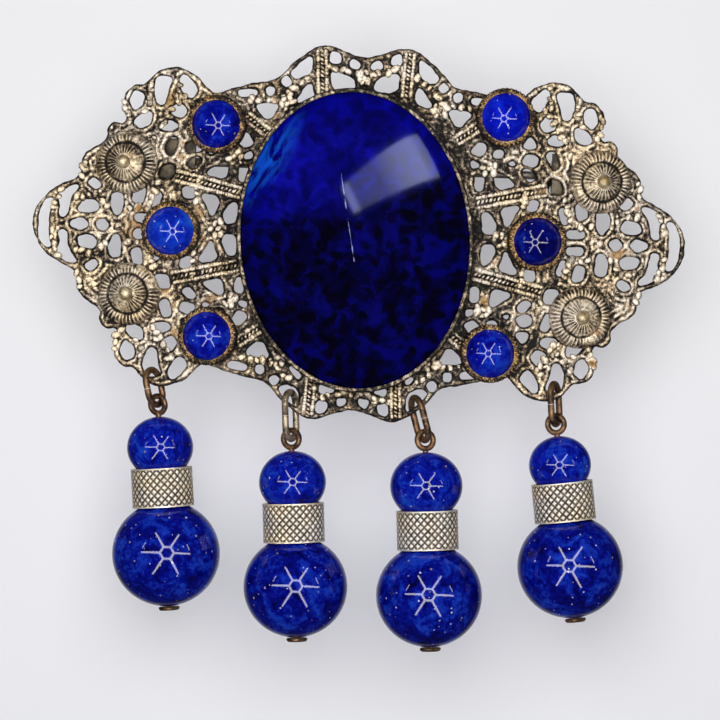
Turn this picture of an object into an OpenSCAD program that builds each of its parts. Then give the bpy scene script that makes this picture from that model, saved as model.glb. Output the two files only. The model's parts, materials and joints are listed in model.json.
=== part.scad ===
// Brooch: a bowed openwork plate with an oval stone, six small stones, four rosettes,
// four bead drops on rings, and a hinged pin with a turning catch behind.
// Pieces are drawn face up, x to the viewer's right, y up, z towards the viewer,
// and the last step stands them upright with the origin on the middle of the pin.

/* [Plate] */
// Length of the plate from wing tip to wing tip
plate_l = 72.4; // [70:0.2:76]
// Height of the plate from scallop to scallop
plate_h = 41.2; // [40.4:0.2:43]
// Thickness of the stamped sheet
plate_t = 0.9; // [0.7:0.05:1]
// Radius of the bow across the plate's width
bow_r = 170; // [150:5:400]
// Width of the ledge round the oval opening, under the bezel
ledge_w = 2; // [1.6:0.1:2.6]
// Gap between the plate and what is soldered on it
solder_gap = 0.02; // [0.01:0.01:0.05]

/* [Centre stone] */
// Width of the oval stone
stone_w = 25; // [23:0.2:26]
// Length of the oval stone
stone_l = 32.4; // [31:0.2:33]
// Height of the stone's straight edge
stone_edge = 1.5; // [1.2:0.1:2.2]
// Height of the stone's dome above its edge
stone_dome = 2.4; // [1.6:0.1:4]
// Lean of the stone, anticlockwise
stone_lean = 6; // [0:1:10]
// Place of the stone's centre on the plate
stone_place = [-0.4, -0.8]; // [-1:0.1:1]
// Wall of the oval bezel
bezel_wall = 0.45; // [0.4:0.05:0.6]
// Height of the bezel's wall above the stone's edge
bezel_lip = 0.35; // [0.2:0.05:0.6]
// Sheet of the bezel's floor
bezel_floor = 0.4; // [0.3:0.1:0.6]
// Clearance between a stone and its bezel or cup
stone_gap = 0.05; // [0.03:0.01:0.1]

/* [Cups and small stones] */
// Radius of a small stone
cab_r = 2.75; // [2.3:0.05:2.8]
// Height of a small stone's straight edge
cab_edge = 0.8; // [0.6:0.1:1.2]
// Height of a small stone's dome above its edge
cab_dome = 1.8; // [1.4:0.1:2.2]
// Wall of a cup
cup_wall = 0.4; // [0.3:0.05:0.5]
// Floor of a cup
cup_floor = 0.35; // [0.3:0.05:0.6]
// Height at which a cup's lip grips the dome, above the stone's edge
cup_grip = 0.3; // [0.3:0.05:0.6]
// Place of the upper left cup
cup_upper_left = [-16, 11.4]; // [-17:0.1:17]
// Place of the upper right cup
cup_upper_right = [15.5, 13.4]; // [-17:0.1:17]
// Place of the middle left cup
cup_middle_left = [-20.6, -0.5]; // [-21:0.1:21]
// Place of the middle right cup
cup_middle_right = [19.5, -0.1]; // [-21:0.1:21]
// Place of the lower left cup
cup_lower_left = [-16.1, -11.9]; // [-17:0.1:17]
// Place of the lower right cup
cup_lower_right = [14.8, -12.6]; // [-17:0.1:17]

/* [Rosettes] */
// Radius of a rosette
rosette_r = 3.45; // [3:0.05:3.6]
// Height of a rosette's inner cone
rosette_h = 2; // [1.6:0.1:2.4]
// Sheet of a rosette
rosette_sheet = 0.35; // [0.3:0.05:0.45]
// Radius of a rosette rivet's shank
rivet_r = 0.45; // [0.35:0.05:0.5]
// Radius of a rosette rivet's ball head
rivet_head_r = 0.78; // [0.7:0.02:0.9]
// Room round a rosette rivet in the plate
rivet_room = 0.2; // [0.18:0.01:0.3]
// Thickness of the tail of a rivet
rivet_tail_t = 0.3; // [0.2:0.05:0.5]
// Place of the upper left rosette
rosette_upper_left = [-25.9, 6.9]; // [-27:0.1:27]
// Place of the upper right rosette
rosette_upper_right = [26.4, 6.8]; // [-27:0.1:27]
// Place of the lower left rosette
rosette_lower_left = [-25.1, -7.6]; // [-27:0.1:27]
// Place of the lower right rosette
rosette_lower_right = [24.7, -8.2]; // [-27:0.1:27]

/* [Rings] */
// Width of a jump ring, outside
ring_w = 3.4; // [3.2:0.05:3.8]
// Height of a jump ring, outside, before it is bent by hand
ring_h = 5.2; // [4.8:0.1:5.6]
// Wire of a jump ring
ring_wire = 0.74; // [0.6:0.02:0.76]
// Width of the cut where a ring was closed
ring_cut = 0.05; // [0.05:0.01:0.2]

/* [Drops] */
// Radius of a head pin's eye, to the middle of its wire
eye_r = 0.95; // [0.92:0.01:1.05]
// Wire of the eye
eye_wire = 0.64; // [0.5:0.02:0.66]
// Radius of a head pin's shank
shank_r = 0.3; // [0.2:0.02:0.31]
// Radius of a head pin's flat head
head_r = 1.15; // [0.6:0.05:1.3]
// Thickness of a head pin's flat head
head_t = 0.4; // [0.3:0.05:0.6]
// Usual width of a small bead
small_bead_w = 7.4; // [7:0.1:7.8]
// Usual height of a small bead
small_bead_h = 6.9; // [6.5:0.1:7.2]
// Diameter of a knurled tube
tube_d = 6.8; // [6.4:0.1:7]
// Height of a knurled tube
tube_h = 4.3; // [3.8:0.1:5]
// Radius of a knurled tube's bore, in which the beads rest
tube_bore_r = 2.8; // [2.4:0.1:2.9]
// Usual width of a large bead
large_bead_w = 11.7; // [11:0.1:11.9]
// Usual height of a large bead
large_bead_h = 11.4; // [10.5:0.1:11.6]
// Running clearance of the beads on the shank
bead_play = 0.06; // [0.04:0.01:0.1]
// Gap between neighbours along a drop
stack_gap = 0.05; // [0.03:0.01:0.1]

/* [Pin and catch] */
// Diameter of the pin
pin_d = 0.9; // [0.7:0.05:0.95]
// Height of the pin above the middle of the plate
pin_y = 7.4; // [6.8:0.1:8]
// Depth of the pin behind the front of the plate
pin_depth = 4.6; // [4.4:0.1:5.4]
// Place of the hinge along the plate
hinge_x = -21; // [-21.4:0.1:-20]
// Place of the catch along the plate
catch_x = 22.4; // [21:0.1:22.6]
// Radius of the hinge rivet
hinge_rivet_r = 0.45; // [0.35:0.05:0.5]
// Running clearance of the pin's eye on its rivet
hinge_play = 0.05; // [0.03:0.01:0.08]
// Thickness of the pin's eye
pin_eye_t = 1; // [0.96:0.02:1.3]
// Thickness of a hinge ear
ear_t = 0.6; // [0.4:0.1:0.8]
// Thickness of the soldered base plates
base_t = 0.6; // [0.4:0.1:0.7]
// Wall of the catch lever's sleeve
lever_wall = 0.4; // [0.3:0.05:0.5]
// Wall of the catch body
catch_wall = 0.55; // [0.4:0.05:0.7]
// Length of the catch body along the pin
catch_l = 2.6; // [2.2:0.1:3]
// Running clearance of the lever in the catch body
lever_play = 0.05; // [0.03:0.01:0.08]
// Free width beside the pin in the catch
pin_room = 0.3; // [0.25:0.05:0.4]

/* [Hidden] */
$fn = 48;
SIDES = ["upper_left", "upper_right", "middle_left", "middle_right", "lower_left", "lower_right"];
CORNERS = ["upper_left", "upper_right", "lower_left", "lower_right"];
DROPS = [0, 1, 2, 3];
function numbered(name) = [for (i = DROPS) str(name, "_", i + 1)];
function placed(name, places) = [for (p = places) str(name, "_", p)];

// The stamping's pattern is drawn on this sheet and stretched to the plate's size
drawn_l = 72.4;
drawn_h = 41.2;
corner_cut = 0.2;
function stretch(p) = [p.x * plate_l / drawn_l, p.y * plate_h / drawn_h];
cup_places = [for (p = [cup_upper_left, cup_upper_right, cup_middle_left,
                        cup_middle_right, cup_lower_left, cup_lower_right]) stretch(p)];
rosette_places = [for (p = [rosette_upper_left, rosette_upper_right,
                            rosette_lower_left, rosette_lower_right]) stretch(p)];

// Rim of one quarter, from the dip in the middle of the top edge to the wing tip
rim = [
    [0, 19.4], [2.3, 20], [4.7, 20.6], [7.2, 19.2], [8.7, 17.7], [9.9, 16.6], [12, 16.2],
    [14.4, 15.6], [16.3, 14.9], [17.3, 15.4], [18.4, 16.6], [20, 17.4], [21.3, 17.6],
    [22.7, 17.2], [23.8, 16.2], [24.5, 15.6], [25.5, 15.5], [26.4, 14.6], [26.6, 13.4],
    [26.2, 12.2], [26.5, 11.3], [27.5, 11.4], [28.3, 10.6], [28.3, 9.6], [29.2, 8.7],
    [30.3, 8.1], [31, 7.1], [31, 5.8], [31.5, 5.1], [33.2, 4.3], [34.8, 3.2], [35.7, 2], [36.1, 1],
    [36.2, 0]
];

// Pierced openings of one quarter, corner by corner, in the scallop above the stone
scallop_openings = [
    [[0.5, 18], [0.6, 18.9], [1.6, 19.3], [2, 18.2]],
    [[2.6, 18.6], [2.8, 19.8], [4, 20.1], [4, 18.5]],
    [[0.8, 15.8], [1.3, 17.2], [3.9, 18.1], [3.6, 15.5]],
    [[5.8, 19.6], [7.2, 18.7], [8.4, 17.3], [7.5, 16.7], [5.9, 17.4]],
    [[5.9, 16.9], [5.3, 14.6], [7.9, 13.9]],
    [[7.9, 16.4], [8.7, 17.3], [9.5, 16.3], [8.6, 15.7]],
    [[9.8, 14.8], [9.8, 16], [10.9, 15.9], [10.9, 14.8]],
    [[11.7, 14.7], [11.7, 15.7], [14.2, 15.3], [13.8, 14.5]],
    [[9, 14.2], [12.4, 13.9], [10.4, 11.8]]
];
// Openings round the corner cup and the bar beside it
shoulder_openings = [
    [[11.7, 9.4], [12.7, 10.8], [13.9, 10.3], [13.2, 8.8]],
    [[14.3, 9], [14.5, 10], [15.9, 9.8], [15.5, 8.8]],
    [[17.4, 10.1], [18.5, 11.8], [19.5, 10.1]],
    [[17.4, 8.5], [18.2, 9.7], [19.7, 9.3], [19.3, 8]],
    [[12.4, 7.2], [13.6, 7], [13.5, 5.2], [12.5, 5.2]],
    [[14.5, 7.8], [17.6, 6], [14.8, 5.3]],
    [[17.5, 7.6], [18.4, 8.1], [19.6, 6.9], [18.4, 6.4]],
    [[20.5, 6.9], [22, 6.9], [22.5, 5.2], [20.8, 5.2]],
    [[11.9, 8.8], [12.9, 8.5], [13.2, 7.8], [12, 7.7]],
    [[15.8, 8.3], [16.8, 9], [17.2, 8]]
];
// Openings among the scrolls of the corner lobe
lobe_openings = [
    [[19.4, 12.9], [20.2, 13.9], [21.4, 13.3], [21.2, 12.3], [20, 11.9]],
    [[20.2, 11.2], [21.2, 11.9], [22.6, 11.4], [22.3, 10.6], [20.8, 10.5]],
    [[20.2, 9.8], [21.3, 10.1], [22, 8.4], [21, 7.7], [20.5, 8.8]],
    [[18.3, 15.4], [20, 17.1], [20.6, 16.3], [20.1, 14.9], [19.3, 14.1], [18.6, 14.5]],
    [[21.1, 16.5], [23, 16.7], [23.4, 15], [22.8, 13.3], [21.9, 13.4], [21.6, 15]],
    [[24.2, 14.6], [25.4, 15.1], [26.1, 13.7], [25.4, 12.6], [24.4, 13.1]],
    [[23.3, 12.8], [24.7, 12.5], [25.6, 11.3], [24.6, 10.7], [23.4, 11.3]]
];
// Openings between the oval ledge, the middle cup and the wing
wing_openings = [
    [[13.4, 3], [14.4, 2.9], [15.2, 1.6], [14.9, 0.5], [13.5, 0.5]],
    [[15.3, 3.5], [17.9, 4], [16.8, 2], [16.2, 0.9]],
    [[18.1, 3.3], [18.5, 4.7], [19.9, 4.5], [19.5, 3.1]],
    [[21.7, 3.7], [22.8, 3.9], [23.4, 2.3], [22.4, 1.8]],
    [[23.6, 4.4], [25, 4.3], [25.3, 2.7], [24, 2.2]],
    [[22.9, 0.35], [22.9, 1.45], [25, 1.45], [25, 0.35]],
    [[26.1, 3.6], [27.5, 3.7], [27.8, 2.2], [27, 0.8], [26.2, 1.4]],
    [[28.5, 4.4], [29.6, 5.4], [30.5, 4.6], [29.3, 3.7]],
    [[28.7, 1.7], [29.3, 2.9], [31, 2.5], [31.4, 1.4], [29.8, 1.1]],
    [[30.9, 4.4], [32.3, 4.3], [33.7, 3.3], [33.2, 2], [33.5, 0.7], [32.4, 0.6], [32.1, 2.7]]
];
// Openings on the wing's middle line, each drawn whole
midline_openings = [
    [[27.4, 0], [28.4, 0.9], [29.4, 0], [28.4, -0.9]],
    [[29.8, 0], [30.7, 0.8], [32.2, 0.3], [32.2, -0.3], [30.7, -0.8]],
    [[33.9, 2.8], [35, 2.7], [35.7, 1.2], [35.7, -1.2], [35, -2.7], [33.9, -2.8], [34.4, -1.2],
     [34.4, 1.2]]
];
quarter_openings = concat(scallop_openings, shoulder_openings, lobe_openings, wing_openings);

// Where the rings hang inside the lower edge, to the middle of their wire
ring_hooks = [[-22.4, -15.9], [-6.9, -17.7], [6.8, -17.8], [22.2, -15.65]];
// How far each ring is turned from face on, and leans, and how far each drop leans
ring_turns = [58, 65, -66, 68];
ring_leans = [14, 4, 17, 5];
drop_leans = [5.5, 3.9, 3.7, 8];
// How much longer each ring was bent than usual, and each bead's share of its usual size
ring_stretches = [-0.55, 0.7, 0.35, 0];
small_shares = [0.99, 1, 1.08, 0.93];
large_shares = [1.02, 0.98, 1, 1];

ring_arc_r = (ring_w - ring_wire) / 2;
function ring_long(i) = ring_h + ring_stretches[i];
function ring_reach(i) = ring_long(i) - ring_wire;
bead_bore_r = shank_r + bead_play;
// How far down a drop each of its pieces lies from the middle of the eye
function small_w(i) = small_bead_w * small_shares[i];
function small_h(i) = small_bead_h * small_shares[i];
function large_w(i) = large_bead_w * large_shares[i];
function large_h(i) = large_bead_h * large_shares[i];
function small_bead_at(i) = eye_r + eye_wire / 2 + stack_gap + small_h(i) / 2;
function tube_at(i) = small_bead_at(i) + bead_seat(small_w(i), small_h(i)) + stack_gap + tube_h / 2;
function large_bead_at(i) = tube_at(i) + tube_h / 2 + stack_gap + bead_seat(large_w(i), large_h(i));
function shank_end(i) = large_bead_at(i) + large_h(i) / 2 + stack_gap;

// The stone is domed like a lens: a power of 1 bulges to its rim, and 2 is a plain bow
lens_power = 1.6;

// Hinge and catch keep their places on the sheet when it is stretched
hinge_at = hinge_x * plate_l / drawn_l;
catch_at = catch_x * plate_l / drawn_l;

// How far a rosette rivet's tail laps past its hole
rivet_lap = 0.25;

// Hinge: tight fit of the rivet in the ears, metal round the pin's eye, and the ears' shape
rivet_fit = 0.01;
pin_eye_wall = 0.65;
hinge_head_t = 0.35;
hinge_head_lap = 0.35;
hinge_rivet_hole_r = hinge_rivet_r + rivet_fit;
pin_eye_r = hinge_rivet_r + hinge_play + pin_eye_wall;
ear_r = pin_eye_r + 0.15;
ear_foot = 2;
neck_l = 3.2;
neck_d = pin_d + 0.12;
base_l = 5.2;
base_w = 4.8;

// Catch: the lever's sleeve in its open drum, a collar before it and a tab behind it
lever_in_r = pin_d / 2 + pin_room;
lever_out_r = lever_in_r + lever_wall;
catch_in_r = lever_out_r + lever_play;
catch_out_r = catch_in_r + catch_wall;
mouth_w = pin_d + pin_room;
lever_end = 0.15;
lever_collar = 0.45;
lever_collar_r = lever_out_r + 0.3;
lever_tab_l = 1;
lever_tab_t = 0.7;
lever_tab_r = catch_out_r + 0.85;
taper_lead = 0.8;
tip_reach = 1.4;
pin_taper_x = catch_at - catch_l / 2 - lever_end - lever_collar - taper_lead;
pin_tip_x = catch_at + catch_l / 2 + lever_tab_l + tip_reach;
pin_tip_r = 0.06;
pin_middle_x = (hinge_at + neck_l + pin_taper_x) / 2;

// Height of the plate's front and back face at a distance from the middle
function front_z(x) = sqrt(bow_r * bow_r - x * x) - bow_r;
function back_z(x) = sqrt(pow(bow_r - plate_t, 2) - x * x) - bow_r;
// How far a bead's middle stays from the rim of the bore that it rests in
function bead_seat(w, h) = h / 2 * sqrt(1 - pow(2 * tube_bore_r / w, 2));
// Radius of a small stone's dome, and its half width at a height above the edge
dome_r = (cab_r * cab_r + cab_dome * cab_dome) / (2 * cab_dome);
function dome_half(z) = sqrt(dome_r * dome_r - pow(z + dome_r - cab_dome, 2));

function mirrored(points, sx, sy) = [for (p = points) [p.x * sx, p.y * sy]];
function reversed(list) = [for (i = [len(list) - 1:-1:0]) list[i]];
// Each corner of a closed outline cut off at a share of its sides
function cut_corners(p) = [for (i = [0:len(p) - 1]) for (f = [corner_cut, 1 - corner_cut])
    p[i] * (1 - f) + p[(i + 1) % len(p)] * f];
// A smooth closed curve through points
function curve_through(p, steps) = [for (i = [0:len(p) - 1]) for (s = [0:steps - 1])
    curve_point(p[(i + len(p) - 1) % len(p)], p[i], p[(i + 1) % len(p)], p[(i + 2) % len(p)], s / steps)];
function curve_point(a, b, c, d, t) = b + 0.5 * t * (c - a
    + t * (2 * a - 5 * b + 4 * c - d + t * (3 * b - a - 3 * c + d)));
function oval(w, l, n = 96) = [for (i = [0:n - 1]) [w / 2 * cos(360 * i / n), l / 2 * sin(360 * i / n)]];
function half_oval(w, h, r, n = 14) = let (a = acos(2 * r / w))
    [for (i = [-n:n]) [w / 2 * cos(a * i / n), h / 2 * sin(a * i / n)]];

module upright() {
    rotate([90, 0, 0]) translate([-pin_middle_x, -pin_y, pin_depth]) children();
}
module on_front(p) {
    translate([p.x, p.y, front_z(p.x)]) rotate([0, asin(p.x / bow_r), 0])
        translate([0, 0, solder_gap]) children();
}
module on_back(p) {
    translate([p.x, p.y, back_z(p.x)]) rotate([0, asin(p.x / (bow_r - plate_t)), 0])
        translate([0, 0, -solder_gap]) children();
}
module pierced(corners) {
    polygon(cut_corners([for (p = corners) stretch(p)]));
}
module bowed_cylinder(r) {
    translate([0, 0, -bow_r]) rotate([90, 0, 0])
        cylinder(r = r, h = 2 * plate_h, center = true, $fn = 360);
}
module oval_at_stone(grow) {
    translate(stone_place) rotate(stone_lean) polygon(oval(stone_w + 2 * grow, stone_l + 2 * grow));
}

module plate_outline() {
    upper = concat(rim, reversed(mirrored([for (i = [1:len(rim) - 2]) rim[i]], 1, -1)));
    whole = concat(upper, mirrored([rim[0]], 1, -1),
        mirrored([for (i = [1:len(upper) - 1]) upper[len(upper) - i]], -1, 1));
    polygon(curve_through([for (p = whole) stretch(p)], 3));
}
module plate_openings() {
    for (sx = [-1, 1]) {
        for (sy = [-1, 1]) for (o = quarter_openings) pierced(mirrored(o, sx, sy));
        for (o = midline_openings) pierced(mirrored(o, sx, 1));
    }
}
module plate_pattern() {
    difference() {
        plate_outline();
        difference() {
            plate_openings();
            oval_at_stone(bezel_wall);
        }
        oval_at_stone(bezel_wall - ledge_w);
        for (p = rosette_places) translate(p) circle(r = rivet_r + rivet_room);
    }
}
module filigree_plate() {
    color("#b3a684") upright() intersection() {
        translate([0, 0, -bow_r / 2]) linear_extrude(bow_r) plate_pattern();
        difference() {
            bowed_cylinder(bow_r);
            bowed_cylinder(bow_r - plate_t);
        }
    }
}

// An oval cup whose lower edge follows the bow of the plate
module centre_bezel() {
    wall_h = bezel_floor + stone_edge + bezel_lip;
    sunk = -front_z(stone_w);
    color("#8d8168") upright() translate([0, 0, solder_gap]) difference() {
        translate([0, 0, -sunk]) linear_extrude(sunk + wall_h) oval_at_stone(stone_gap + bezel_wall);
        translate([0, 0, bezel_floor]) linear_extrude(wall_h) oval_at_stone(stone_gap);
        translate([0, 0, -sunk]) linear_extrude(sunk) oval_at_stone(stone_gap - bezel_wall);
        bowed_cylinder(bow_r);
    }
}
module centre_stone() {
    rings = 9;
    n = 72;
    points = [
        for (p = oval(stone_w, stone_l, n)) [p.x, p.y, 0],
        for (i = [0:rings - 1]) let (a = 90 * i / rings)
            for (p = oval(stone_w, stone_l, n))
                [p.x * cos(a), p.y * cos(a), stone_edge + stone_dome * pow(sin(a), lens_power)],
        [0, 0, stone_edge + stone_dome]
    ];
    side = [for (k = [0:rings - 1]) for (i = [0:n - 1]) let (j = (i + 1) % n)
        each [[k * n + i, (k + 1) * n + i, (k + 1) * n + j], [k * n + i, (k + 1) * n + j, k * n + j]]];
    top = [for (i = [0:n - 1]) [rings * n + i, len(points) - 1, rings * n + (i + 1) % n]];
    color("#14206e") upright() translate([stone_place.x, stone_place.y, solder_gap + bezel_floor])
        rotate(stone_lean) polyhedron(points, concat([[for (i = [0:n - 1]) i]], side, top));
}

// A turned-over lip holds each small stone on its dome
module cup(i) {
    in_r = cab_r + stone_gap;
    out_r = in_r + cup_wall;
    grip_z = cup_floor + cab_edge + cup_grip;
    grip_r = dome_half(cup_grip) + stone_gap;
    lip = cup_wall / 4;
    color("#8a6f3d") upright() on_front(cup_places[i]) rotate_extrude() polygon([
        [0, 0], [out_r, 0], [out_r, grip_z - lip], [out_r - 3 * lip, grip_z + 2 * lip],
        [grip_r, grip_z + lip], [grip_r, grip_z], [in_r, grip_z - cup_grip / 2], [in_r, cup_floor],
        [0, cup_floor]
    ]);
}
module cabochon(i) {
    dome_a = asin(cab_r / dome_r);
    steps = 12;
    color("#2436c8") upright() on_front(cup_places[i]) translate([0, 0, cup_floor])
        rotate_extrude() polygon(concat([[0, 0], [cab_r, 0]],
            [for (k = [0:steps]) let (a = dome_a * (1 - k / steps))
                [dome_r * sin(a), cab_edge + cab_dome - dome_r * (1 - cos(a))]]));
}

// A stamped shell: ribbed flange, groove and inner cone round the rivet's hole
module rosette(i) {
    flange_h = rosette_h * 0.55;
    edge_h = 0.25;
    crest_r = rosette_r * 0.83;
    turn_r = rosette_r * 0.94;
    turn_h = flange_h * 0.65;
    groove_r = rosette_r * 0.64;
    groove_d = 0.2;
    cone_r = rosette_r * 0.42;
    cone_h = rosette_h * 0.84;
    hole_r = rivet_r + stone_gap;
    top = [
        [rosette_r, 0], [rosette_r, edge_h], [turn_r, turn_h], [crest_r, flange_h],
        [groove_r + groove_d, flange_h], [groove_r, flange_h - groove_d], [groove_r - groove_d, flange_h],
        [cone_r, cone_h], [rivet_head_r, rosette_h], [hole_r, rosette_h]
    ];
    under = [for (p = reversed(top)) if (p.y > rosette_sheet + groove_d / 2)
        [p.x - (p.x > groove_r ? rosette_sheet / 2 : 0), p.y - rosette_sheet]];
    color("#a39270") upright() on_front(rosette_places[i]) rotate_extrude()
        polygon(concat(top, under, [[rosette_r - rosette_sheet, 0]]));
}
module rosette_rivet(i) {
    back = -plate_t - 2 * solder_gap;
    seat = rosette_h + solder_gap;
    tail_r = rivet_r + rivet_room + rivet_lap;
    steps = 8;
    color("#b08a4e") upright() on_front(rosette_places[i]) rotate_extrude() polygon(concat(
        [[0, back - rivet_tail_t], [tail_r - rivet_lap / 2, back - rivet_tail_t], [tail_r, back],
         [rivet_r, back], [rivet_r, seat]],
        [for (k = [0:steps]) let (a = 90 * k / steps) [rivet_head_r * cos(a), seat + rivet_head_r * sin(a)]]
    ));
}

// Places one drop's pieces with the middle of the eye, on the ring's lower wire, at the origin
module at_ring(i) {
    hook = stretch(ring_hooks[i]);
    translate([hook.x, hook.y, (front_z(hook.x) + back_z(hook.x)) / 2]) rotate(ring_leans[i]) children();
}
function eye_place(i) = let (hook = stretch(ring_hooks[i]), a = ring_leans[i])
    [hook.x + ring_reach(i) * sin(a), hook.y - ring_reach(i) * cos(a),
     (front_z(hook.x) + back_z(hook.x)) / 2];
module at_drop(i) {
    upright() translate(eye_place(i)) rotate(drop_leans[i]) children();
}
module half_ring() {
    rotate_extrude(angle = 180) translate([ring_arc_r, 0]) circle(d = ring_wire);
}
module jump_ring(i) {
    straight = ring_long(i) - ring_w;
    color("#7a5a3c") upright() at_ring(i) rotate([0, ring_turns[i], 0])
        translate([0, -ring_reach(i) / 2, 0]) difference() {
            union() {
                translate([0, straight / 2, 0]) half_ring();
                translate([0, -straight / 2, 0]) rotate(180) half_ring();
                for (x = [-ring_arc_r, ring_arc_r]) translate([x, 0, 0]) rotate([90, 0, 0])
                    cylinder(d = ring_wire, h = straight, center = true);
            }
            translate([ring_arc_r, 0, 0]) cube([2 * ring_wire, ring_cut, 2 * ring_wire], center = true);
        }
}
module head_pin(i) {
    color("#6f5136") at_drop(i) rotate([0, ring_turns[i] - 90, 0]) {
        rotate_extrude() translate([eye_r, 0]) circle(d = eye_wire);
        rotate([90, 0, 0]) translate([0, 0, eye_r]) cylinder(r = shank_r, h = shank_end(i) - eye_r);
        rotate([90, 0, 0]) translate([0, 0, shank_end(i)]) cylinder(r = head_r, h = head_t);
    }
}
module bead(i, at, w, h) {
    at_drop(i) translate([0, -at, 0]) rotate([90, 0, 0]) rotate_extrude()
        polygon(half_oval(w, h, bead_bore_r));
}
module small_bead(i) {
    color("#2130b4") bead(i, small_bead_at(i), small_w(i), small_h(i));
}
module large_bead(i) {
    color("#1c2aa8") bead(i, large_bead_at(i), large_w(i), large_h(i));
}
module knurled_tube(i) {
    color("#a9a393") at_drop(i) translate([0, -tube_at(i), 0]) rotate([90, 0, 0]) rotate_extrude()
        translate([tube_bore_r, -tube_h / 2]) square([tube_d / 2 - tube_bore_r, tube_h]);
}

// A plate soldered on the back, from which an ear or drum stands
module base_plate(x, l, w) {
    hollow = l * l / 8 / (bow_r - plate_t);
    on_back([x, pin_y]) translate([-l / 2, -w / 2, -base_t - hollow]) cube([l, w, base_t]);
}
module along_y(h) {
    rotate([90, 0, 0]) linear_extrude(h, center = true) children();
}
module along_x(x0, x1) {
    translate([x0, pin_y, -pin_depth]) rotate([0, 90, 0]) linear_extrude(x1 - x0) children();
}
module hinge_bracket() {
    ear_y = (pin_eye_t + ear_t) / 2 + hinge_play;
    foot_z = back_z(hinge_at) - solder_gap - base_t / 2;
    color("#8f7a52") upright() {
        base_plate(hinge_at, base_l, base_w);
        for (s = [-1, 1]) translate([0, pin_y + s * ear_y, 0]) difference() {
            along_y(ear_t) {
                polygon([[hinge_at - ear_foot, foot_z], [hinge_at + ear_foot, foot_z],
                         [hinge_at + pin_eye_r, -pin_depth], [hinge_at - pin_eye_r, -pin_depth]]);
                translate([hinge_at, -pin_depth]) circle(r = ear_r);
            }
            translate([hinge_at, 0, -pin_depth]) rotate([90, 0, 0])
                cylinder(r = hinge_rivet_hole_r, h = 2 * ear_t, center = true);
        }
    }
}
module hinge_rivet() {
    half = pin_eye_t / 2 + hinge_play + ear_t + solder_gap;
    color("#9a8a66") upright() translate([hinge_at, pin_y, -pin_depth]) rotate([90, 0, 0]) {
        cylinder(r = hinge_rivet_r, h = 2 * half, center = true);
        for (s = [-1, 1]) translate([0, 0, s * (half + hinge_head_t / 2)])
            cylinder(r = hinge_rivet_r + hinge_head_lap, h = hinge_head_t, center = true);
    }
}
module pin_stem() {
    color("#7d7160") upright() translate([0, pin_y, -pin_depth]) difference() {
        union() {
            translate([hinge_at, 0, 0]) rotate([90, 0, 0])
                cylinder(r = pin_eye_r, h = pin_eye_t, center = true);
            rotate([0, 90, 0]) {
                translate([0, 0, hinge_at + pin_eye_r / 2])
                    cylinder(d1 = neck_d, d2 = pin_d, h = neck_l - pin_eye_r / 2);
                translate([0, 0, hinge_at + neck_l])
                    cylinder(d = pin_d, h = pin_taper_x - hinge_at - neck_l);
                translate([0, 0, pin_taper_x])
                    cylinder(r1 = pin_d / 2, r2 = pin_tip_r, h = pin_tip_x - pin_taper_x);
            }
        }
        translate([hinge_at, 0, 0]) rotate([90, 0, 0])
            cylinder(r = hinge_rivet_r + hinge_play, h = 2 * pin_eye_t, center = true);
    }
}
// Ring section open to the back, where the pin lifts out
module open_ring(r_in, r_out) {
    difference() {
        circle(r = r_out);
        circle(r = r_in);
        translate([0, -mouth_w / 2]) square([2 * r_out, mouth_w]);
    }
}
module catch_body() {
    color("#a08c60") upright() {
        difference() {
            base_plate(catch_at, catch_l, base_w);
            along_x(catch_at - catch_l, catch_at + catch_l) circle(r = catch_in_r);
        }
        along_x(catch_at - catch_l / 2, catch_at + catch_l / 2) open_ring(catch_in_r, catch_out_r);
    }
}
module catch_lever() {
    x0 = catch_at - catch_l / 2 - lever_end;
    x1 = catch_at + catch_l / 2 + lever_end;
    color("#b09a68") upright() {
        along_x(x0, x1 + lever_tab_l) open_ring(lever_in_r, lever_out_r);
        along_x(x0 - lever_collar, x0) open_ring(lever_in_r, lever_collar_r);
        along_x(x1, x1 + lever_tab_l) translate([-lever_tab_t / 2, lever_in_r + lever_wall / 2])
            square([lever_tab_t, lever_tab_r - lever_in_r - lever_wall / 2]);
    }
}

filigree_plate();
centre_bezel();
centre_stone();
for (i = [0:len(SIDES) - 1]) {
    cup(i);
    cabochon(i);
}
for (i = [0:len(CORNERS) - 1]) {
    rosette(i);
    rosette_rivet(i);
}
for (i = DROPS) {
    jump_ring(i);
    head_pin(i);
    small_bead(i);
    knurled_tube(i);
    large_bead(i);
}
hinge_bracket();
hinge_rivet();
pin_stem();
catch_body();
catch_lever();
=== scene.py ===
import json
import math

import bmesh
import bpy
from bpy.props import FloatProperty, FloatVectorProperty, IntProperty, PointerProperty
from bpy.types import Operator, Panel, PropertyGroup
from mathutils import Matrix, Vector, noise
from mathutils.kdtree import KDTree


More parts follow.
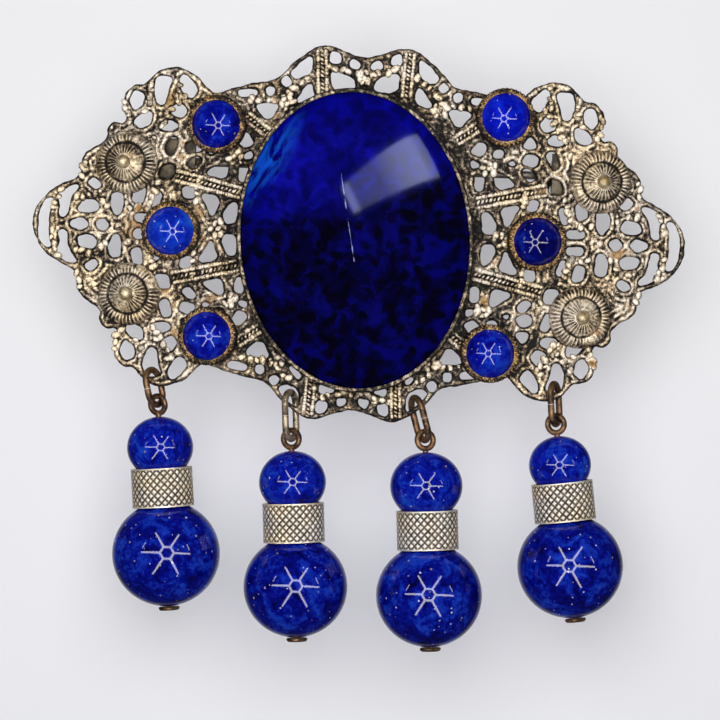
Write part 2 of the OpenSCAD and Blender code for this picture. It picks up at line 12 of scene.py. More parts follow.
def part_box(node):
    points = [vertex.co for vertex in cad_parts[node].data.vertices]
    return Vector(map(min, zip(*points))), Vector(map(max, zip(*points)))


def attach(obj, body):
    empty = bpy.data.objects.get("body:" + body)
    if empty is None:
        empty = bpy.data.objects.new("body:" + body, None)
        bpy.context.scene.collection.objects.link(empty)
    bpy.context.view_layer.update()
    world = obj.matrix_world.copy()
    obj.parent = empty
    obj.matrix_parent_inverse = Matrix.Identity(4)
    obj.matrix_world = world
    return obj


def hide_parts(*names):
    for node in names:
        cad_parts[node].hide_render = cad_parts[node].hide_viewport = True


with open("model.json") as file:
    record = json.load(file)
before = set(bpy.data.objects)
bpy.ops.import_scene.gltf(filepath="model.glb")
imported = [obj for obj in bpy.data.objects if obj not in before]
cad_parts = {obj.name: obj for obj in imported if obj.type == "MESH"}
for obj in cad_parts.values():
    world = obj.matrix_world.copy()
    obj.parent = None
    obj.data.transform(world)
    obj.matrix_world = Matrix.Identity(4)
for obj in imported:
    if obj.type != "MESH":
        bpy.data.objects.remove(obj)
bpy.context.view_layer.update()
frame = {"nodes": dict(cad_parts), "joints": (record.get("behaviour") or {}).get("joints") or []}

bl_info = {
    "name": "Brooch with bead drops",
    "version": (1, 0, 0),
    "blender": (4, 5, 0),
    "location": "3D View > Sidebar > Brooch",
    "description": "Builds the dressed pieces of an openwork brooch round its solid model",
    "category": "Object",
}

MM = 0.001
JOINTS = {joint["name"]: joint for joint in frame["joints"]}

# Places on the plate, right and up from its middle, as in the solid model
CUP_PLACES = {
    "upper_left": (-16.0, 11.4), "upper_right": (15.5, 13.4), "middle_left": (-20.6, -0.5),
    "middle_right": (19.5, -0.1), "lower_left": (-16.1, -11.9), "lower_right": (14.8, -12.6),
}
ROSETTE_PLACES = {
    "upper_left": (-25.9, 6.9), "upper_right": (26.4, 6.8),
    "lower_left": (-25.1, -7.6), "lower_right": (24.7, -8.2),
}
STONE_PLACE = (-0.4, -0.8)
STONE_LEAN = 6.0
BOW_R = 170.0
PLATE_T = 0.9
SOLDER_GAP = 0.02
STACK_GAP = 0.05
# Points of a solid's loose triangles that lie this close are one
WELD = 0.001 * MM
# No grain lies so near a ring that the ring could touch it as it swings
RING_ROOM = 2.6
# Half the width and length round the stone within which the sheet is darkened as painted shade of the bezel
SHADE_W, SHADE_L = 13, 17
GLASS_IOR = 1.52
# A bead's height as a share of its width
BEAD_SHARE = {"small_bead": 6.9 / 7.4, "large_bead": 11.4 / 11.7}
# The plate is drawn face up; this stands it upright with the pin's middle at the origin
PLATE_X, PLATE_Y, PLATE_Z = 0.95, 4.6, 7.4
UPRIGHT = (Matrix.Translation(Vector((-PLATE_X, -PLATE_Y, -PLATE_Z)) * MM) @ Matrix.Rotation(math.pi / 2, 4, "X")
           @ Matrix.Scale(MM, 4))
QUARTERS = [(sx, sy) for sx in (1, -1) for sy in (1, -1)]

# Spots where the wash is worn through to the brass: place on the plate and radius
WORN_SPOTS = [(-24.6, -0.6, 2.3), (-21.4, 14.1, 1.3), (-28.6, -12.4, 0.9), (11.2, 16.3, 1.0)]
# Raised ornament on one quarter of the plate: start, end, width
ROPE_BARS = [((4.85, 19.9), (4.6, 15.4), 1.5), ((10.4, 10.7), (12.8, 12.4), 1.5), ((13.0, 3.95), (20.2, 5.6), 1.7)]
FLOWERS = [(8.4, 14.0), (14.0, 7.9)]
MIDLINE_FLOWERS = [(15.6, 0.0), (0.0, 17.2)]
GRAIN_CHAINS = [
    [(0.9, 17.45), (4.1, 18.3)], [(5.8, 17.35), (8.3, 15.2)], [(9.0, 14.45), (12.4, 14.25)],
    [(20.5, 16.8), (20.4, 15.7), (20.6, 14.6)], [(23.7, 15.6), (23.6, 13.6), (24.2, 12.7)],
    [(20.0, 14.3), (21.7, 12.5)], [(21.4, 12.1), (22.9, 10.6), (23.0, 9.6)], [(25.9, 11.6), (26.5, 13.6)],
    [(27.9, 1.9), (29.1, 3.3), (31.3, 2.9)], [(33.2, 3.6), (34.0, 1.6)], [(30.6, 6.9), (31.0, 5.5)],
    [(22.5, 4.6), (23.5, 1.9), (25.5, 1.9)], [(18.2, 2.9), (18.1, 5.2)],
]


def linear(colour):
    """An sRGB hex colour as linear red, green, blue and alpha."""
    parts = [int(colour[i:i + 2], 16) / 255 for i in (1, 3, 5)]
    return tuple(c / 12.92 if c <= 0.04045 else ((c + 0.055) / 1.055) ** 2.4 for c in parts) + (1.0,)


def hue(name, colour, words):
    """A colour that the user can change."""
    return FloatVectorProperty(name=name, description=words, size=4, subtype="COLOR", min=0, max=1,
                               default=linear(colour))


def length(name, millimetres, words):
    """A size in millimetres that the user can change."""
    return FloatProperty(name=name, description=words + ", in millimetres", default=millimetres, min=0)


class BroochMetal(PropertyGroup):
    """Sheet, ornament and wire"""
    voxel: length("Sheet detail", 0.206, "Grain of the rounded sheet's mesh")
    ease: IntProperty(name="Easing", description="How often the sheet's mesh is smoothed", default=3, min=0)
    edge_r: length("Edge radius", 0.4, "How far in from its edge a strut is rounded")
    swell: length("Swelling", 0.03, "How far the struts swell at their sides")
    lump: length("Lumps", 0.12, "Height of the casting's unevenness")
    wire: length("Wire", 0.62, "Distance between the wires that lie side by side in a wide strut")
    seam: length("Seam", 0.22, "Depth of the seam between such wires")
    grain_r: length("Grain radius", 0.36, "Radius of a solder grain")
    grain_step: length("Grain spacing", 0.8, "Distance between the grains of a chain")
    rope_r: length("Rope radius", 0.3, "Radius of a rope in a ridged bar")
    teeth: IntProperty(name="Cup teeth", description="Beads round the lip of a small cup", default=40, min=8)
    silver_high: hue("Silver, rubbed", "#fff6e4", "Where the silver wash is rubbed bright")
    silver_mid: hue("Silver, dull", "#b5a58c", "The silver wash in between")
    silver_low: hue("Silver, grey", "#5a5044", "The silver wash where it has gone grey")
    patina: hue("Patina", "#0c0a07", "Tarnish in the recesses")
    bare_brass: hue("Bare brass", "#9a6f30", "Brass where the wash has gone")
    cup_brass: hue("Cup brass", "#6c5536", "Brass of the small cups")
    nickel: hue("Nickel silver", "#fffaf0", "Crests of the knurled tubes")
    copper: hue("Copper", "#8a6747", "Wire of the rings and head pins")
    steel: hue("Steel", "#8d867b", "Wire of the pin")


class BroochGlass(PropertyGroup):
    """Stones and beads"""
    stone_deep: hue("Stone, deep", "#01000f", "Dark cells in the centre stone")
    stone_blue: hue("Stone, blue", "#06069c", "Veins of the centre stone")
    stone_azure: hue("Stone, azure", "#0b4fc4", "Streaks near the stone's upper edge")
    bead_deep: hue("Bead, deep", "#010136", "Dark clouds in the beads")
    bead_blue: hue("Bead, blue", "#040d84", "Body of the beads")
    bead_pale: hue("Bead, pale", "#1a44c6", "Pale clouds in the beads")
    fleck: hue("Flecks", "#84704a", "Metal flecks in the beads")


class BroochStage(PropertyGroup):
    """Camera, light and backdrop"""
    distance: FloatProperty(name="Camera distance", description="From the plate", default=0.42, unit="LENGTH")
    field: FloatProperty(name="Field", description="Width of the picture at the plate", default=0.0792, unit="LENGTH")
    roll: FloatProperty(name="Roll", description="Turn of the camera", default=math.radians(2.3), subtype="ANGLE")
    paper: hue("Backdrop", "#f0f0f3", "Pale paper behind and below")
    paper_share: FloatProperty(name="Paper's own light", description="How much of the paper is lit evenly",
                               default=0.38)
    flash_light: FloatProperty(name="Flash", description="Brightness of the lamp beside the lens", default=6.8)
    back_light: FloatProperty(name="Back", description="Brightness of the lamp behind the brooch", default=5.0)
    spoke_light: FloatProperty(name="Spokes", description="Brightness of the star of strip lamps", default=9.0)
    panel_light: FloatProperty(name="Panel", description="Brightness of the panel seen in the stone", default=6.0)
    fill_light: FloatProperty(name="Fill", description="Brightness of the lamp for the stone's colour", default=3.2)
    room_light: FloatProperty(name="Room", description="Brightness of the room all round", default=0.03)


def front_z(x):
    """Height of the plate's front face at a distance from its middle line."""
    return math.sqrt(BOW_R ** 2 - x ** 2) - BOW_R


def on_plate(place):
    """Puts a piece that is drawn face up on the plate's front."""
    x, y = place
    return (UPRIGHT @ Matrix.Translation((x, y, front_z(x))) @ Matrix.Rotation(math.asin(x / BOW_R), 4, "Y")
            @ Matrix.Translation((0, 0, SOLDER_GAP)))


def eye_of(n):
    """The middle of the eye that drop n hangs by."""
    return Vector(JOINTS[f"drop_swing_{n}"]["pos_m"])


def on_drop(n):
    """Puts a piece that is drawn along +Z from the eye's middle on drop n."""
    down = Vector(JOINTS[f"large_bead_spin_{n}"]["axis"])
    return Matrix.Translation(eye_of(n)) @ down.to_track_quat("Z", "Y").to_matrix().to_4x4() @ Matrix.Scale(MM, 4)


def middle(node):
    """The middle of a solid's box."""
    low, high = (Vector(corner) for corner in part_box(node))
    return (low + high) / 2


def bead_size(kind, n):
    """A bead's width, height and distance from the middle of the eye, in millimetres."""
    low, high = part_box(f"{kind}_{n}")
    width = (high[1] - low[1]) / MM
    return width, width * BEAD_SHARE[kind], (middle(f"{kind}_{n}") - eye_of(n)).length / MM


def spun(profile, steps, closed=False):
    """A profile of radius and height, turned once round Z."""
    bm = bmesh.new()
    verts = [bm.verts.new((r, 0, z)) for r, z in profile]
    edges = [bm.edges.new(pair) for pair in zip(verts, verts[1:] + verts[:1] * closed)]
    bmesh.ops.spin(bm, geom=verts + edges, cent=(0, 0, 0), axis=(0, 0, 1), angle=2 * math.pi, steps=steps,
                   use_merge=True, use_duplicate=False)
    bmesh.ops.remove_doubles(bm, verts=bm.verts, dist=1e-5)
    bmesh.ops.recalc_face_normals(bm, faces=bm.faces)
    return bm


def verts_of(made):
    """The points in what a bmesh operator made."""
    return [each for each in made if isinstance(each, bmesh.types.BMVert)]


def edges_of(made):
    """The edges in what a bmesh operator made."""
    return [each for each in made if isinstance(each, bmesh.types.BMEdge)]


def finish_piece(bm, name, body, material, nodes=(), place=None, sharp=45):
    """Makes a shown piece of a bmesh: smooth, in its place, on its body."""
    if place is not None:
        bmesh.ops.transform(bm, matrix=place, verts=bm.verts)
    mesh = bpy.data.meshes.new(name)
    bm.to_mesh(mesh)
    bm.free()
    mesh.polygons.foreach_set("use_smooth", [True] * len(mesh.polygons))
    mesh.set_sharp_from_angle(angle=math.radians(sharp))
    piece = bpy.data.objects.new(name, mesh)
    bpy.context.scene.collection.objects.link(piece)
    mesh.materials.append(material)
    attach(piece, body)
    if nodes:
        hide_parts(*nodes)
    return piece


def feed(tree, node, values):
    """Sets each value on a node's socket or links it there. A node stands for its first output in use."""
    for key, value in values.items():
        if isinstance(value, bpy.types.Node):
            value = next(output for output in value.outputs if output.enabled)
        if isinstance(value, bpy.types.NodeSocket):
            tree.links.new(value, node.inputs[key])
        else:
            node.inputs[key].default_value = value


def add(tree, kind, values=None, **settings):
    """Adds a shader node with its settings and links."""
    node = tree.nodes.new("ShaderNode" + kind)
    for key, value in settings.items():
        setattr(node, key, value)
    feed(tree, node, values or {})
    return node


def per(millimetres):
    """Scale of a texture whose marks are this far apart."""
    return 1 / (millimetres * MM)


def material(name):
    """An empty material with its tree and its shader."""
    made = bpy.data.materials.new(name)
    made.use_nodes = True
    return made, made.node_tree, made.node_tree.nodes["Principled BSDF"]


def washed_metal(name, tones, bare, bare_share=0.62, depth=0.7, level=0.0, crest=False, front=True,
                 spots_worn=False, shine=(0.4, 0.2), grit=0.62):
    """Stamped brass with a worn silver wash: cream where it was rubbed, grey where it is dull, nearly black
    with tarnish in the recesses, darkened on the sides and along the edges as painted shade, warm where the brass
    shows, and pitted all over."""
    patina, low, mid, high = tones
    made, tree, shader = material(name)
    where = add(tree, "TexCoord")
    open_sky = add(tree, "AmbientOcclusion", {"Distance": depth * MM}, samples=8)
    blotch = add(tree, "TexNoise", {"Vector": where.outputs["Object"], "Scale": per(2.4), "Detail": 4.0})
    pits = add(tree, "TexNoise", {"Vector": where.outputs["Object"], "Scale": per(0.45), "Detail": 5.0,
                                  "Roughness": 0.75})
    clean_and_lit = open_sky.outputs["AO"]
    if front:
        # Faces turned sideways, away from the front and back, are darkened: painted shade
        facing = add(tree, "VectorMath", {0: where.outputs["Normal"], 1: (0, -1, 0)}, operation="DOT_PRODUCT")
        painted_side_shade = add(tree, "Math", {0: facing}, operation="ABSOLUTE")
        clean_and_lit = add(tree, "Math", {0: painted_side_shade, 1: clean_and_lit}, operation="MULTIPLY")
    if crest:
        # The crest value darkens grooves; on the sheet it also holds painted shade near the stone and at the strut
        # edges
        ridge = add(tree, "Attribute", attribute_name="crest")
        clean_and_lit = add(tree, "Math", {0: clean_and_lit, 1: ridge.outputs["Fac"]}, operation="MULTIPLY")
    spots = add(tree, "MapRange", {"Value": pits, "From Min": 0.3, "From Max": 0.7, "To Min": -grit, "To Max": grit},
                clamp=False)
    fields = add(tree, "MapRange", {"Value": blotch, "From Min": 0.3, "From Max": 0.7, "To Min": level - grit / 2,
                                    "To Max": level + grit / 2}, clamp=False)
    mottle = add(tree, "Math", {0: spots, 1: fields}, operation="ADD")
    worn = add(tree, "Math", {0: clean_and_lit, 1: 0.8, 2: mottle}, operation="MULTIPLY_ADD", use_clamp=True)
    shades = add(tree, "ValToRGB", {0: worn})
    ramp = shades.color_ramp.elements
    ramp[0].position, ramp[0].color = 0.12, patina
    ramp[1].position, ramp[1].color = 0.92, high
    for position, tone in ((0.36, low), (0.62, mid)):
        ramp.new(position).color = tone
    gone = add(tree, "MapRange", {"Value": blotch, "From Min": bare_share, "From Max": bare_share + 0.08},
               interpolation_type="SMOOTHSTEP")
    if spots_worn:
        spot = add(tree, "Attribute", attribute_name="bare")
        gone = add(tree, "Math", {0: gone, 1: spot.outputs["Fac"]}, operation="MAXIMUM")
    shown = add(tree, "Math", {0: gone, 1: worn}, operation="MULTIPLY")
    fog = add(tree, "TexNoise", {"Vector": where.outputs["Object"], "Scale": per(5.0), "Detail": 2.0})
    cast = add(tree, "MapRange", {"Value": fog, "From Min": 0.4, "From Max": 0.6})
    tint = add(tree, "Mix", {0: cast, 6: linear("#fff3de"), 7: linear("#f6f3f4")}, data_type="RGBA")
    silver = add(tree, "Mix", {0: 1.0, 6: shades, 7: tint}, data_type="RGBA", blend_type="MULTIPLY")
    colour = add(tree, "Mix", {0: shown, 6: silver, 7: bare}, data_type="RGBA")
    rough = add(tree, "MapRange", {"Value": worn, "To Min": 0.75, "To Max": 0.42})
    metal = add(tree, "MapRange", {"Value": worn, "To Min": shine[0], "To Max": shine[1]})
    bump = add(tree, "Bump", {"Height": pits, "Strength": 0.8, "Distance": 0.1 * MM})
    feed(tree, shader, {"Base Color": colour, "Roughness": rough, "Metallic": metal, "Normal": bump})
    return made


def silver_tones(sizes):
    """The silver wash from tarnished to rubbed."""
    return sizes.patina, sizes.silver_low, sizes.silver_mid, sizes.silver_high


def drawn_wire(name, colour, dark, spot_mm):
    """Drawn wire gone dull: fine mottled oxide over a metal that still shines a little."""
    made, tree, shader = material(name)
    where = add(tree, "TexCoord")
    oxide = add(tree, "TexNoise", {"Vector": where.outputs["Object"], "Scale": per(spot_mm), "Detail": 6.0,
                                   "Roughness": 0.65})
    share = add(tree, "MapRange", {"Value": oxide, "From Min": 0.38, "From Max": 0.62},
                interpolation_type="SMOOTHSTEP")
    mixed = add(tree, "Mix", {0: share, 6: dark, 7: colour}, data_type="RGBA")
    rough = add(tree, "MapRange", {"Value": oxide, "To Min": 0.55, "To Max": 0.25})
    bump = add(tree, "Bump", {"Height": oxide, "Strength": 0.35, "Distance": 0.03 * MM})
    feed(tree, shader, {"Base Color": mixed, "Roughness": rough, "Normal": bump, "Metallic": 0.6})
    return made


def fleck_glass(name, deep, blue, pale, fleck, cloud_mm):
    """Pressed glass coloured like lapis: navy and cobalt clouds with a fine pale mottle, a few metal flecks,
    some of them pale as painted glints, and a polished skin."""
    made, tree, shader = material(name)
    where = add(tree, "TexCoord")
    clouds = add(tree, "TexNoise", {"Vector": where.outputs["Object"], "Scale": per(cloud_mm), "Detail": 4.0,
                                    "Roughness": 0.6, "Distortion": 0.8})
    mottle = add(tree, "TexNoise", {"Vector": where.outputs["Object"], "Scale": per(cloud_mm / 4), "Detail": 4.0,
                                    "Roughness": 0.75})
    fine = add(tree, "Math", {0: mottle, 1: 0.42}, operation="MULTIPLY")
    both = add(tree, "Math", {0: clouds, 1: 0.58, 2: fine}, operation="MULTIPLY_ADD")
    shades = add(tree, "ValToRGB", {0: both})
    ramp = shades.color_ramp.elements
    ramp[0].position, ramp[0].color = 0.37, deep
    ramp[1].position, ramp[1].color = 0.67, pale
    ramp.new(0.5).color = blue
    grains = add(tree, "TexVoronoi", {"Vector": where.outputs["Object"], "Scale": per(0.6)})
    picked = add(tree, "SeparateColor", {0: grains.outputs["Color"]})
    radius = add(tree, "MapRange", {"Value": picked.outputs[0], "From Min": 0.5, "To Min": 0.0, "To Max": 0.2})
    inside = add(tree, "Math", {0: grains.outputs["Distance"], 1: radius}, operation="LESS_THAN")
    # Some flecks are given a pale bluish white: painted glints
    glint = add(tree, "Mix", {0: picked.outputs[1], 6: fleck, 7: linear("#c9cbe0")}, data_type="RGBA")
    colour = add(tree, "Mix", {0: inside, 6: shades, 7: glint}, data_type="RGBA")
    rough = add(tree, "MapRange", {"Value": mottle, "To Min": 0.02, "To Max": 0.08})
    feed(tree, shader, {"Base Color": colour, "Roughness": rough, "IOR": GLASS_IOR})
    return made


def stone_glass(values):
    """Mottled cobalt glass with a polished face: near black cells in a blue net, a brighter upper part that is
    a painted reflection, azure streaks along the upper left edge, and one long fine scratch."""
    made, tree, shader = material("Mottled cobalt glass, polished")
    where = add(tree, "TexCoord")
    centre = UPRIGHT @ Vector((*STONE_PLACE, 0))
    local = add(tree, "VectorMath", {0: where.outputs["Object"], 1: centre}, operation="SUBTRACT")
    drift = add(tree, "TexNoise", {"Vector": local, "Scale": per(3.0), "Detail": 6.0})
    bent = add(tree, "VectorMath", {0: drift.outputs["Color"], 1: (3.4 * MM,) * 3, 2: local}, operation="MULTIPLY_ADD")
    cells = add(tree, "TexVoronoi", {"Vector": bent, "Scale": per(1.35), "Smoothness": 0.5}, feature="SMOOTH_F1")
    clouds = add(tree, "TexNoise", {"Vector": bent, "Scale": per(3.4), "Detail": 6.0, "Roughness": 0.6})
    net = add(tree, "MapRange", {"Value": cells, "From Min": 0.28, "From Max": 0.66}, interpolation_type="SMOOTHSTEP")
    # Painted reflection: the upper part is brighter, down to two slanting lines
    tilts = ((-0.04, 0, 1), (-0.55, 0, 1))
    slopes = [add(tree, "VectorMath", {0: local, 1: tilt}, operation="DOT_PRODUCT") for tilt in tilts]
    least = add(tree, "Math", {0: slopes[0], 1: slopes[1]}, operation="MINIMUM")
    upper = add(tree, "MapRange", {"Value": least, "From Min": 1.4 * MM, "From Max": 3.8 * MM},
                interpolation_type="SMOOTHSTEP")
    veil = add(tree, "MapRange", {"Value": clouds, "From Min": 0.4, "From Max": 0.68}, interpolation_type="SMOOTHSTEP")
    part = add(tree, "MapRange", {"Value": veil, "To Min": 0.35, "To Max": 1.0})
    vein = add(tree, "Math", {0: net, 1: part}, operation="MULTIPLY")
    marks = add(tree, "Math", {0: veil, 1: 0.5, 2: vein}, operation="MULTIPLY_ADD")
    dim = add(tree, "MapRange", {"Value": marks, "From Max": 1.4, "To Min": 0.0, "To Max": 0.32},
              interpolation_type="SMOOTHSTEP")
    bright = add(tree, "MapRange", {"Value": marks, "From Max": 1.5, "To Min": 0.2, "To Max": 0.9})
    blue = add(tree, "Mix", {0: upper, 2: dim, 3: bright})
    body = add(tree, "Mix", {0: blue, 6: values.stone_deep, 7: values.stone_blue}, data_type="RGBA")
    edge = add(tree, "VectorMath", {0: local, 1: (-9.8 * MM, 0, 8.8 * MM)}, operation="SUBTRACT")
    lean = add(tree, "VectorRotate", {"Vector": edge, "Angle": math.radians(-27)}, rotation_type="Y_AXIS")
    turned = add(tree, "VectorMath", {0: lean, 1: (1, 0.2, 0.36)}, operation="MULTIPLY")
    reach = add(tree, "VectorMath", {0: turned}, operation="LENGTH")
    streaks = add(tree, "TexNoise", {"Vector": turned, "Scale": per(1.5), "Detail": 5.0, "Distortion": 1.2})
    near = add(tree, "MapRange", {"Value": reach, "From Min": 0.4 * MM, "From Max": 2.8 * MM, "To Min": 1.0,
                                  "To Max": 0.0}, interpolation_type="SMOOTHSTEP")
    thread = add(tree, "MapRange", {"Value": streaks, "From Min": 0.42, "From Max": 0.6},
                 interpolation_type="SMOOTHSTEP")
    azure = add(tree, "Math", {0: near, 1: thread}, operation="MULTIPLY")
    colour = add(tree, "Mix", {0: azure, 6: body, 7: values.stone_azure}, data_type="RGBA")
    # One long scratch down the middle, broken by the grain of the glass
    slant = add(tree, "VectorMath", {0: local, 1: (1, 0, 0.19)}, operation="DOT_PRODUCT")
    aside = add(tree, "Math", {0: slant, 1: 0.44 * MM}, operation="ADD")
    aside = add(tree, "Math", {0: aside}, operation="ABSOLUTE")
    chips = add(tree, "TexNoise", {"Vector": local, "Scale": per(1.1), "Detail": 3.0})
    wide = add(tree, "MapRange", {"Value": chips, "From Min": 0.42, "From Max": 0.75, "To Min": 0.0,
                                  "To Max": 0.1 * MM})
    line = add(tree, "Math", {0: aside, 1: wide}, operation="LESS_THAN")
    along = add(tree, "SeparateXYZ", {0: local})
    ends = add(tree, "Math", {0: along.outputs["Z"], 1: 2.4 * MM, 2: 4.8 * MM}, operation="COMPARE")
    turn = add(tree, "SeparateXYZ", {0: where.outputs["Normal"]})
    face = add(tree, "Math", {0: turn.outputs["Y"], 1: 0.0}, operation="LESS_THAN")
    front = add(tree, "Math", {0: ends, 1: face}, operation="MULTIPLY")
    scratch = add(tree, "Math", {0: line, 1: front}, operation="MULTIPLY")
    colour = add(tree, "Mix", {0: scratch, 6: colour, 7: linear("#8f94c4")}, data_type="RGBA")
    rough = add(tree, "MapRange", {"Value": clouds, "To Min": 0.03, "To Max": 0.1})
    feed(tree, shader, {"Base Color": colour, "Roughness": rough, "IOR": GLASS_IOR})
    return made


class BROOCH_OT_plate(Operator):
    """Round the stamped sheet's struts, make it uneven and lay ropes, grains and flowers on it"""
    bl_idname = "brooch.plate"
    bl_label = "Openwork plate"

    def execute(self, context):
        sizes = context.scene.brooch_metal
        tones = silver_tones(sizes)
        self.sheet(context, sizes, washed_metal("Silver-washed stamped brass", tones, sizes.bare_brass, crest=True,
                                                 spots_worn=True))
        wash = washed_metal("Silver-washed raised ornament", tones, sizes.bare_brass, level=0.1)
        self.ropes(sizes, wash)
        self.grains(sizes, wash)
        return {"FINISHED"}

    def sheet(self, context, sizes, wash):
        """The solid sheet, remeshed finely, with its struts rounded like wire and worn uneven."""
        bm = bmesh.new()
        bm.from_mesh(frame["nodes"]["filigree_plate"].data)
        bmesh.ops.remove_doubles(bm, verts=bm.verts, dist=WELD)
        blank = bpy.data.meshes.new("sheet_blank")
        bm.to_mesh(blank)
        holder = bpy.data.objects.new("sheet_blank", blank)
        context.scene.collection.objects.link(holder)
        remesh = holder.modifiers.new("Even grain", "REMESH")
        remesh.mode = "VOXEL"
        remesh.voxel_size = sizes.voxel * MM
        ease = holder.modifiers.new("Eased edges", "SMOOTH")
        ease.factor = 0.5
        ease.iterations = sizes.ease
        even = bpy.data.meshes.new_from_object(holder.evaluated_get(context.evaluated_depsgraph_get()))
        bpy.data.objects.remove(holder)
        bm.clear()
        bm.from_mesh(even)
        bm.normal_update()
        self.round_struts(bm, sizes)
        finish_piece(bm, "openwork_sheet", "brooch", wash, ["filigree_plate"], sharp=180)

    def round_struts(self, bm, sizes):
        """Thins the sheet towards its edges, and keeps how far in from an edge each point lies, in a crest value that
        also holds painted shade near the stone and at the edges.
        """
        walls = [vert.co for vert in bm.verts if abs(vert.normal.y) < 0.5]
        edges = KDTree(len(walls))
        for i, place in enumerate(walls):
            edges.insert((place.x, 0, place.z), i)
        edges.balance()
        crest = bm.verts.layers.float.new("crest")
        bare = bm.verts.layers.float.new("bare")
        half = PLATE_T / 2
        for vert in bm.verts:
            inward = edges.find((vert.co.x, 0, vert.co.z))[2] / MM
            share = min(1.0, inward / sizes.edge_r)
            full = 1 - sizes.edge_r * (1 - math.sqrt(share * (2 - share))) / half
            x, y = vert.co.x / MM + PLATE_X, vert.co.z / MM + PLATE_Z
            heart = (-PLATE_Y - front_z(x) + half) * MM
            ahead = vert.co.y < heart
            wave = noise.noise(vert.co * per(1.4)) + 0.7 * noise.noise(vert.co * per(0.6))
            # Wide struts are wires side by side, with a seam between them; towards a strut's edge the ridge value falls
            # as painted shade of its walls
            past = inward - sizes.edge_r * 0.7
            ridge = 0.6 + 0.4 * math.cos(2 * math.pi * past / sizes.wire) if past > 0 else 1 + past / sizes.edge_r
            vert.co.y = heart + (vert.co.y - heart) * (full if ahead else (1 + full) / 2)
            vert.co += vert.normal * (sizes.lump * wave + sizes.swell * (1 - share)) * MM
            if ahead:
                vert.co.y += sizes.seam * (1 - ridge) * min(1.0, max(0.0, past / 0.1)) * MM
                # The crest value is lowered near the stone as painted shade of the bezel
                off = math.hypot((x - STONE_PLACE[0]) / SHADE_W, (y - STONE_PLACE[1]) / SHADE_L)
                vert[crest] = ridge * min(1.08, 0.5 + 0.58 * max(0.0, off - 1) / 0.8)
                vert[bare] = max(min(1.0, 1.6 - 1.6 * math.hypot(x - u, y - v) / r + 0.5 * wave)
                                 for u, v, r in WORN_SPOTS)
            else:
                vert[crest] = 0.6 * ridge

    def ropes(self, sizes, wash):
        """Each ridged bar is a twisted rope between two lumpy rails."""
        bm = bmesh.new()
        # Each lane's side, the spacing and skew of its strands, and their shape
        lanes = ((-1, 0.34, 0, (1.1, 0.95, 1.0)), (0, 0.46, 55, (1.1, 0.62, 0.8)), (1, 0.34, 0, (1.1, 0.95, 1.0)))
        for sx, sy in QUARTERS:
            for start, end, width in ROPE_BARS:
                start, end = (Vector((p[0] * sx, p[1] * sy)) for p in (start, end))
                along = (end - start).normalized()
                aside = Vector((-along.y, along.x))
                for lane, step, skew, shape in lanes:
                    count = round((end - start).length / step)
                    for i in range(count + 1):
                        x, y = start.lerp(end, i / count) + aside * lane * (width / 2 - sizes.rope_r)
                        turn = math.atan2(along.y, along.x) + math.radians(skew)
                        size = sizes.rope_r * (1 + 0.5 * noise.noise(Vector((x, y, 0)) * 1.9))
                        place = (Matrix.Translation((x, y, front_z(x) + 0.06)) @ Matrix.Rotation(turn, 4, "Z")
                                 @ Matrix.Diagonal((*(size * each for each in shape), 1)))
                        bmesh.ops.create_uvsphere(bm, u_segments=8, v_segments=5, radius=1, matrix=place)
        finish_piece(bm, "rope_bars", "brooch", wash, place=UPRIGHT, sharp=180)

    def grains(self, sizes, wash):
        """Solder grains in chains and flowers, each a little out of line and out of round."""
        # Without a seed of its own, the noise takes one from the clock
        noise.seed_set(1)
        bm = bmesh.new()
        spots = []
        for sx, sy in QUARTERS:
            for chain in GRAIN_CHAINS:
                points = [Vector((p[0] * sx, p[1] * sy)) for p in chain]
                for a, b in zip(points, points[1:]):
                    count = max(1, round((b - a).length / sizes.grain_step))
                    spots += [(a.lerp(b, i / count), sizes.grain_r) for i in range(count + 1)]
            for flower in FLOWERS:
                spots += self.flower(Vector((flower[0] * sx, flower[1] * sy)), sizes)
        for x, y in MIDLINE_FLOWERS:
            for side in (1, -1):
                spots += self.flower(Vector((x, y)) * side, sizes)
        rings = [Vector(JOINTS[f"ring_swing_{n}"]["pos_m"]) / MM for n in range(1, 5)]
        rings = [Vector((ring.x + PLATE_X, ring.z + PLATE_Z)) for ring in rings]
        for spot, radius in spots:
            if min((spot - ring).length for ring in rings) < RING_ROOM:
                continue
            spot = spot + 0.35 * noise.noise_vector(Vector((spot.x, spot.y, 2)) * 1.1).xy
            size = radius * (1 + 0.8 * noise.noise(Vector((spot.x, spot.y, 0)) * 1.7))
            place = (Matrix.Translation((spot.x, spot.y, front_z(spot.x) + 0.04))
                     @ Matrix.Rotation(9 * noise.noise(Vector((spot.y, spot.x, 4)) * 1.3), 4, "Z")
                     @ Matrix.Diagonal((size * 1.35, size * 0.95, size * 0.6, 1)))
            bmesh.ops.create_uvsphere(bm, u_segments=8, v_segments=6, radius=1, matrix=place)
        finish_piece(bm, "solder_grains", "brooch", wash, place=UPRIGHT, sharp=180)

    def flower(self, heart, sizes):
        """A grain with six more round it."""
        turns = [math.radians(60 * k + 12) for k in range(6)]
        petals = [(heart + Vector((math.cos(a), math.sin(a))) * 0.68, sizes.grain_r) for a in turns]
        return petals + [(heart, sizes.grain_r * 0.9)]


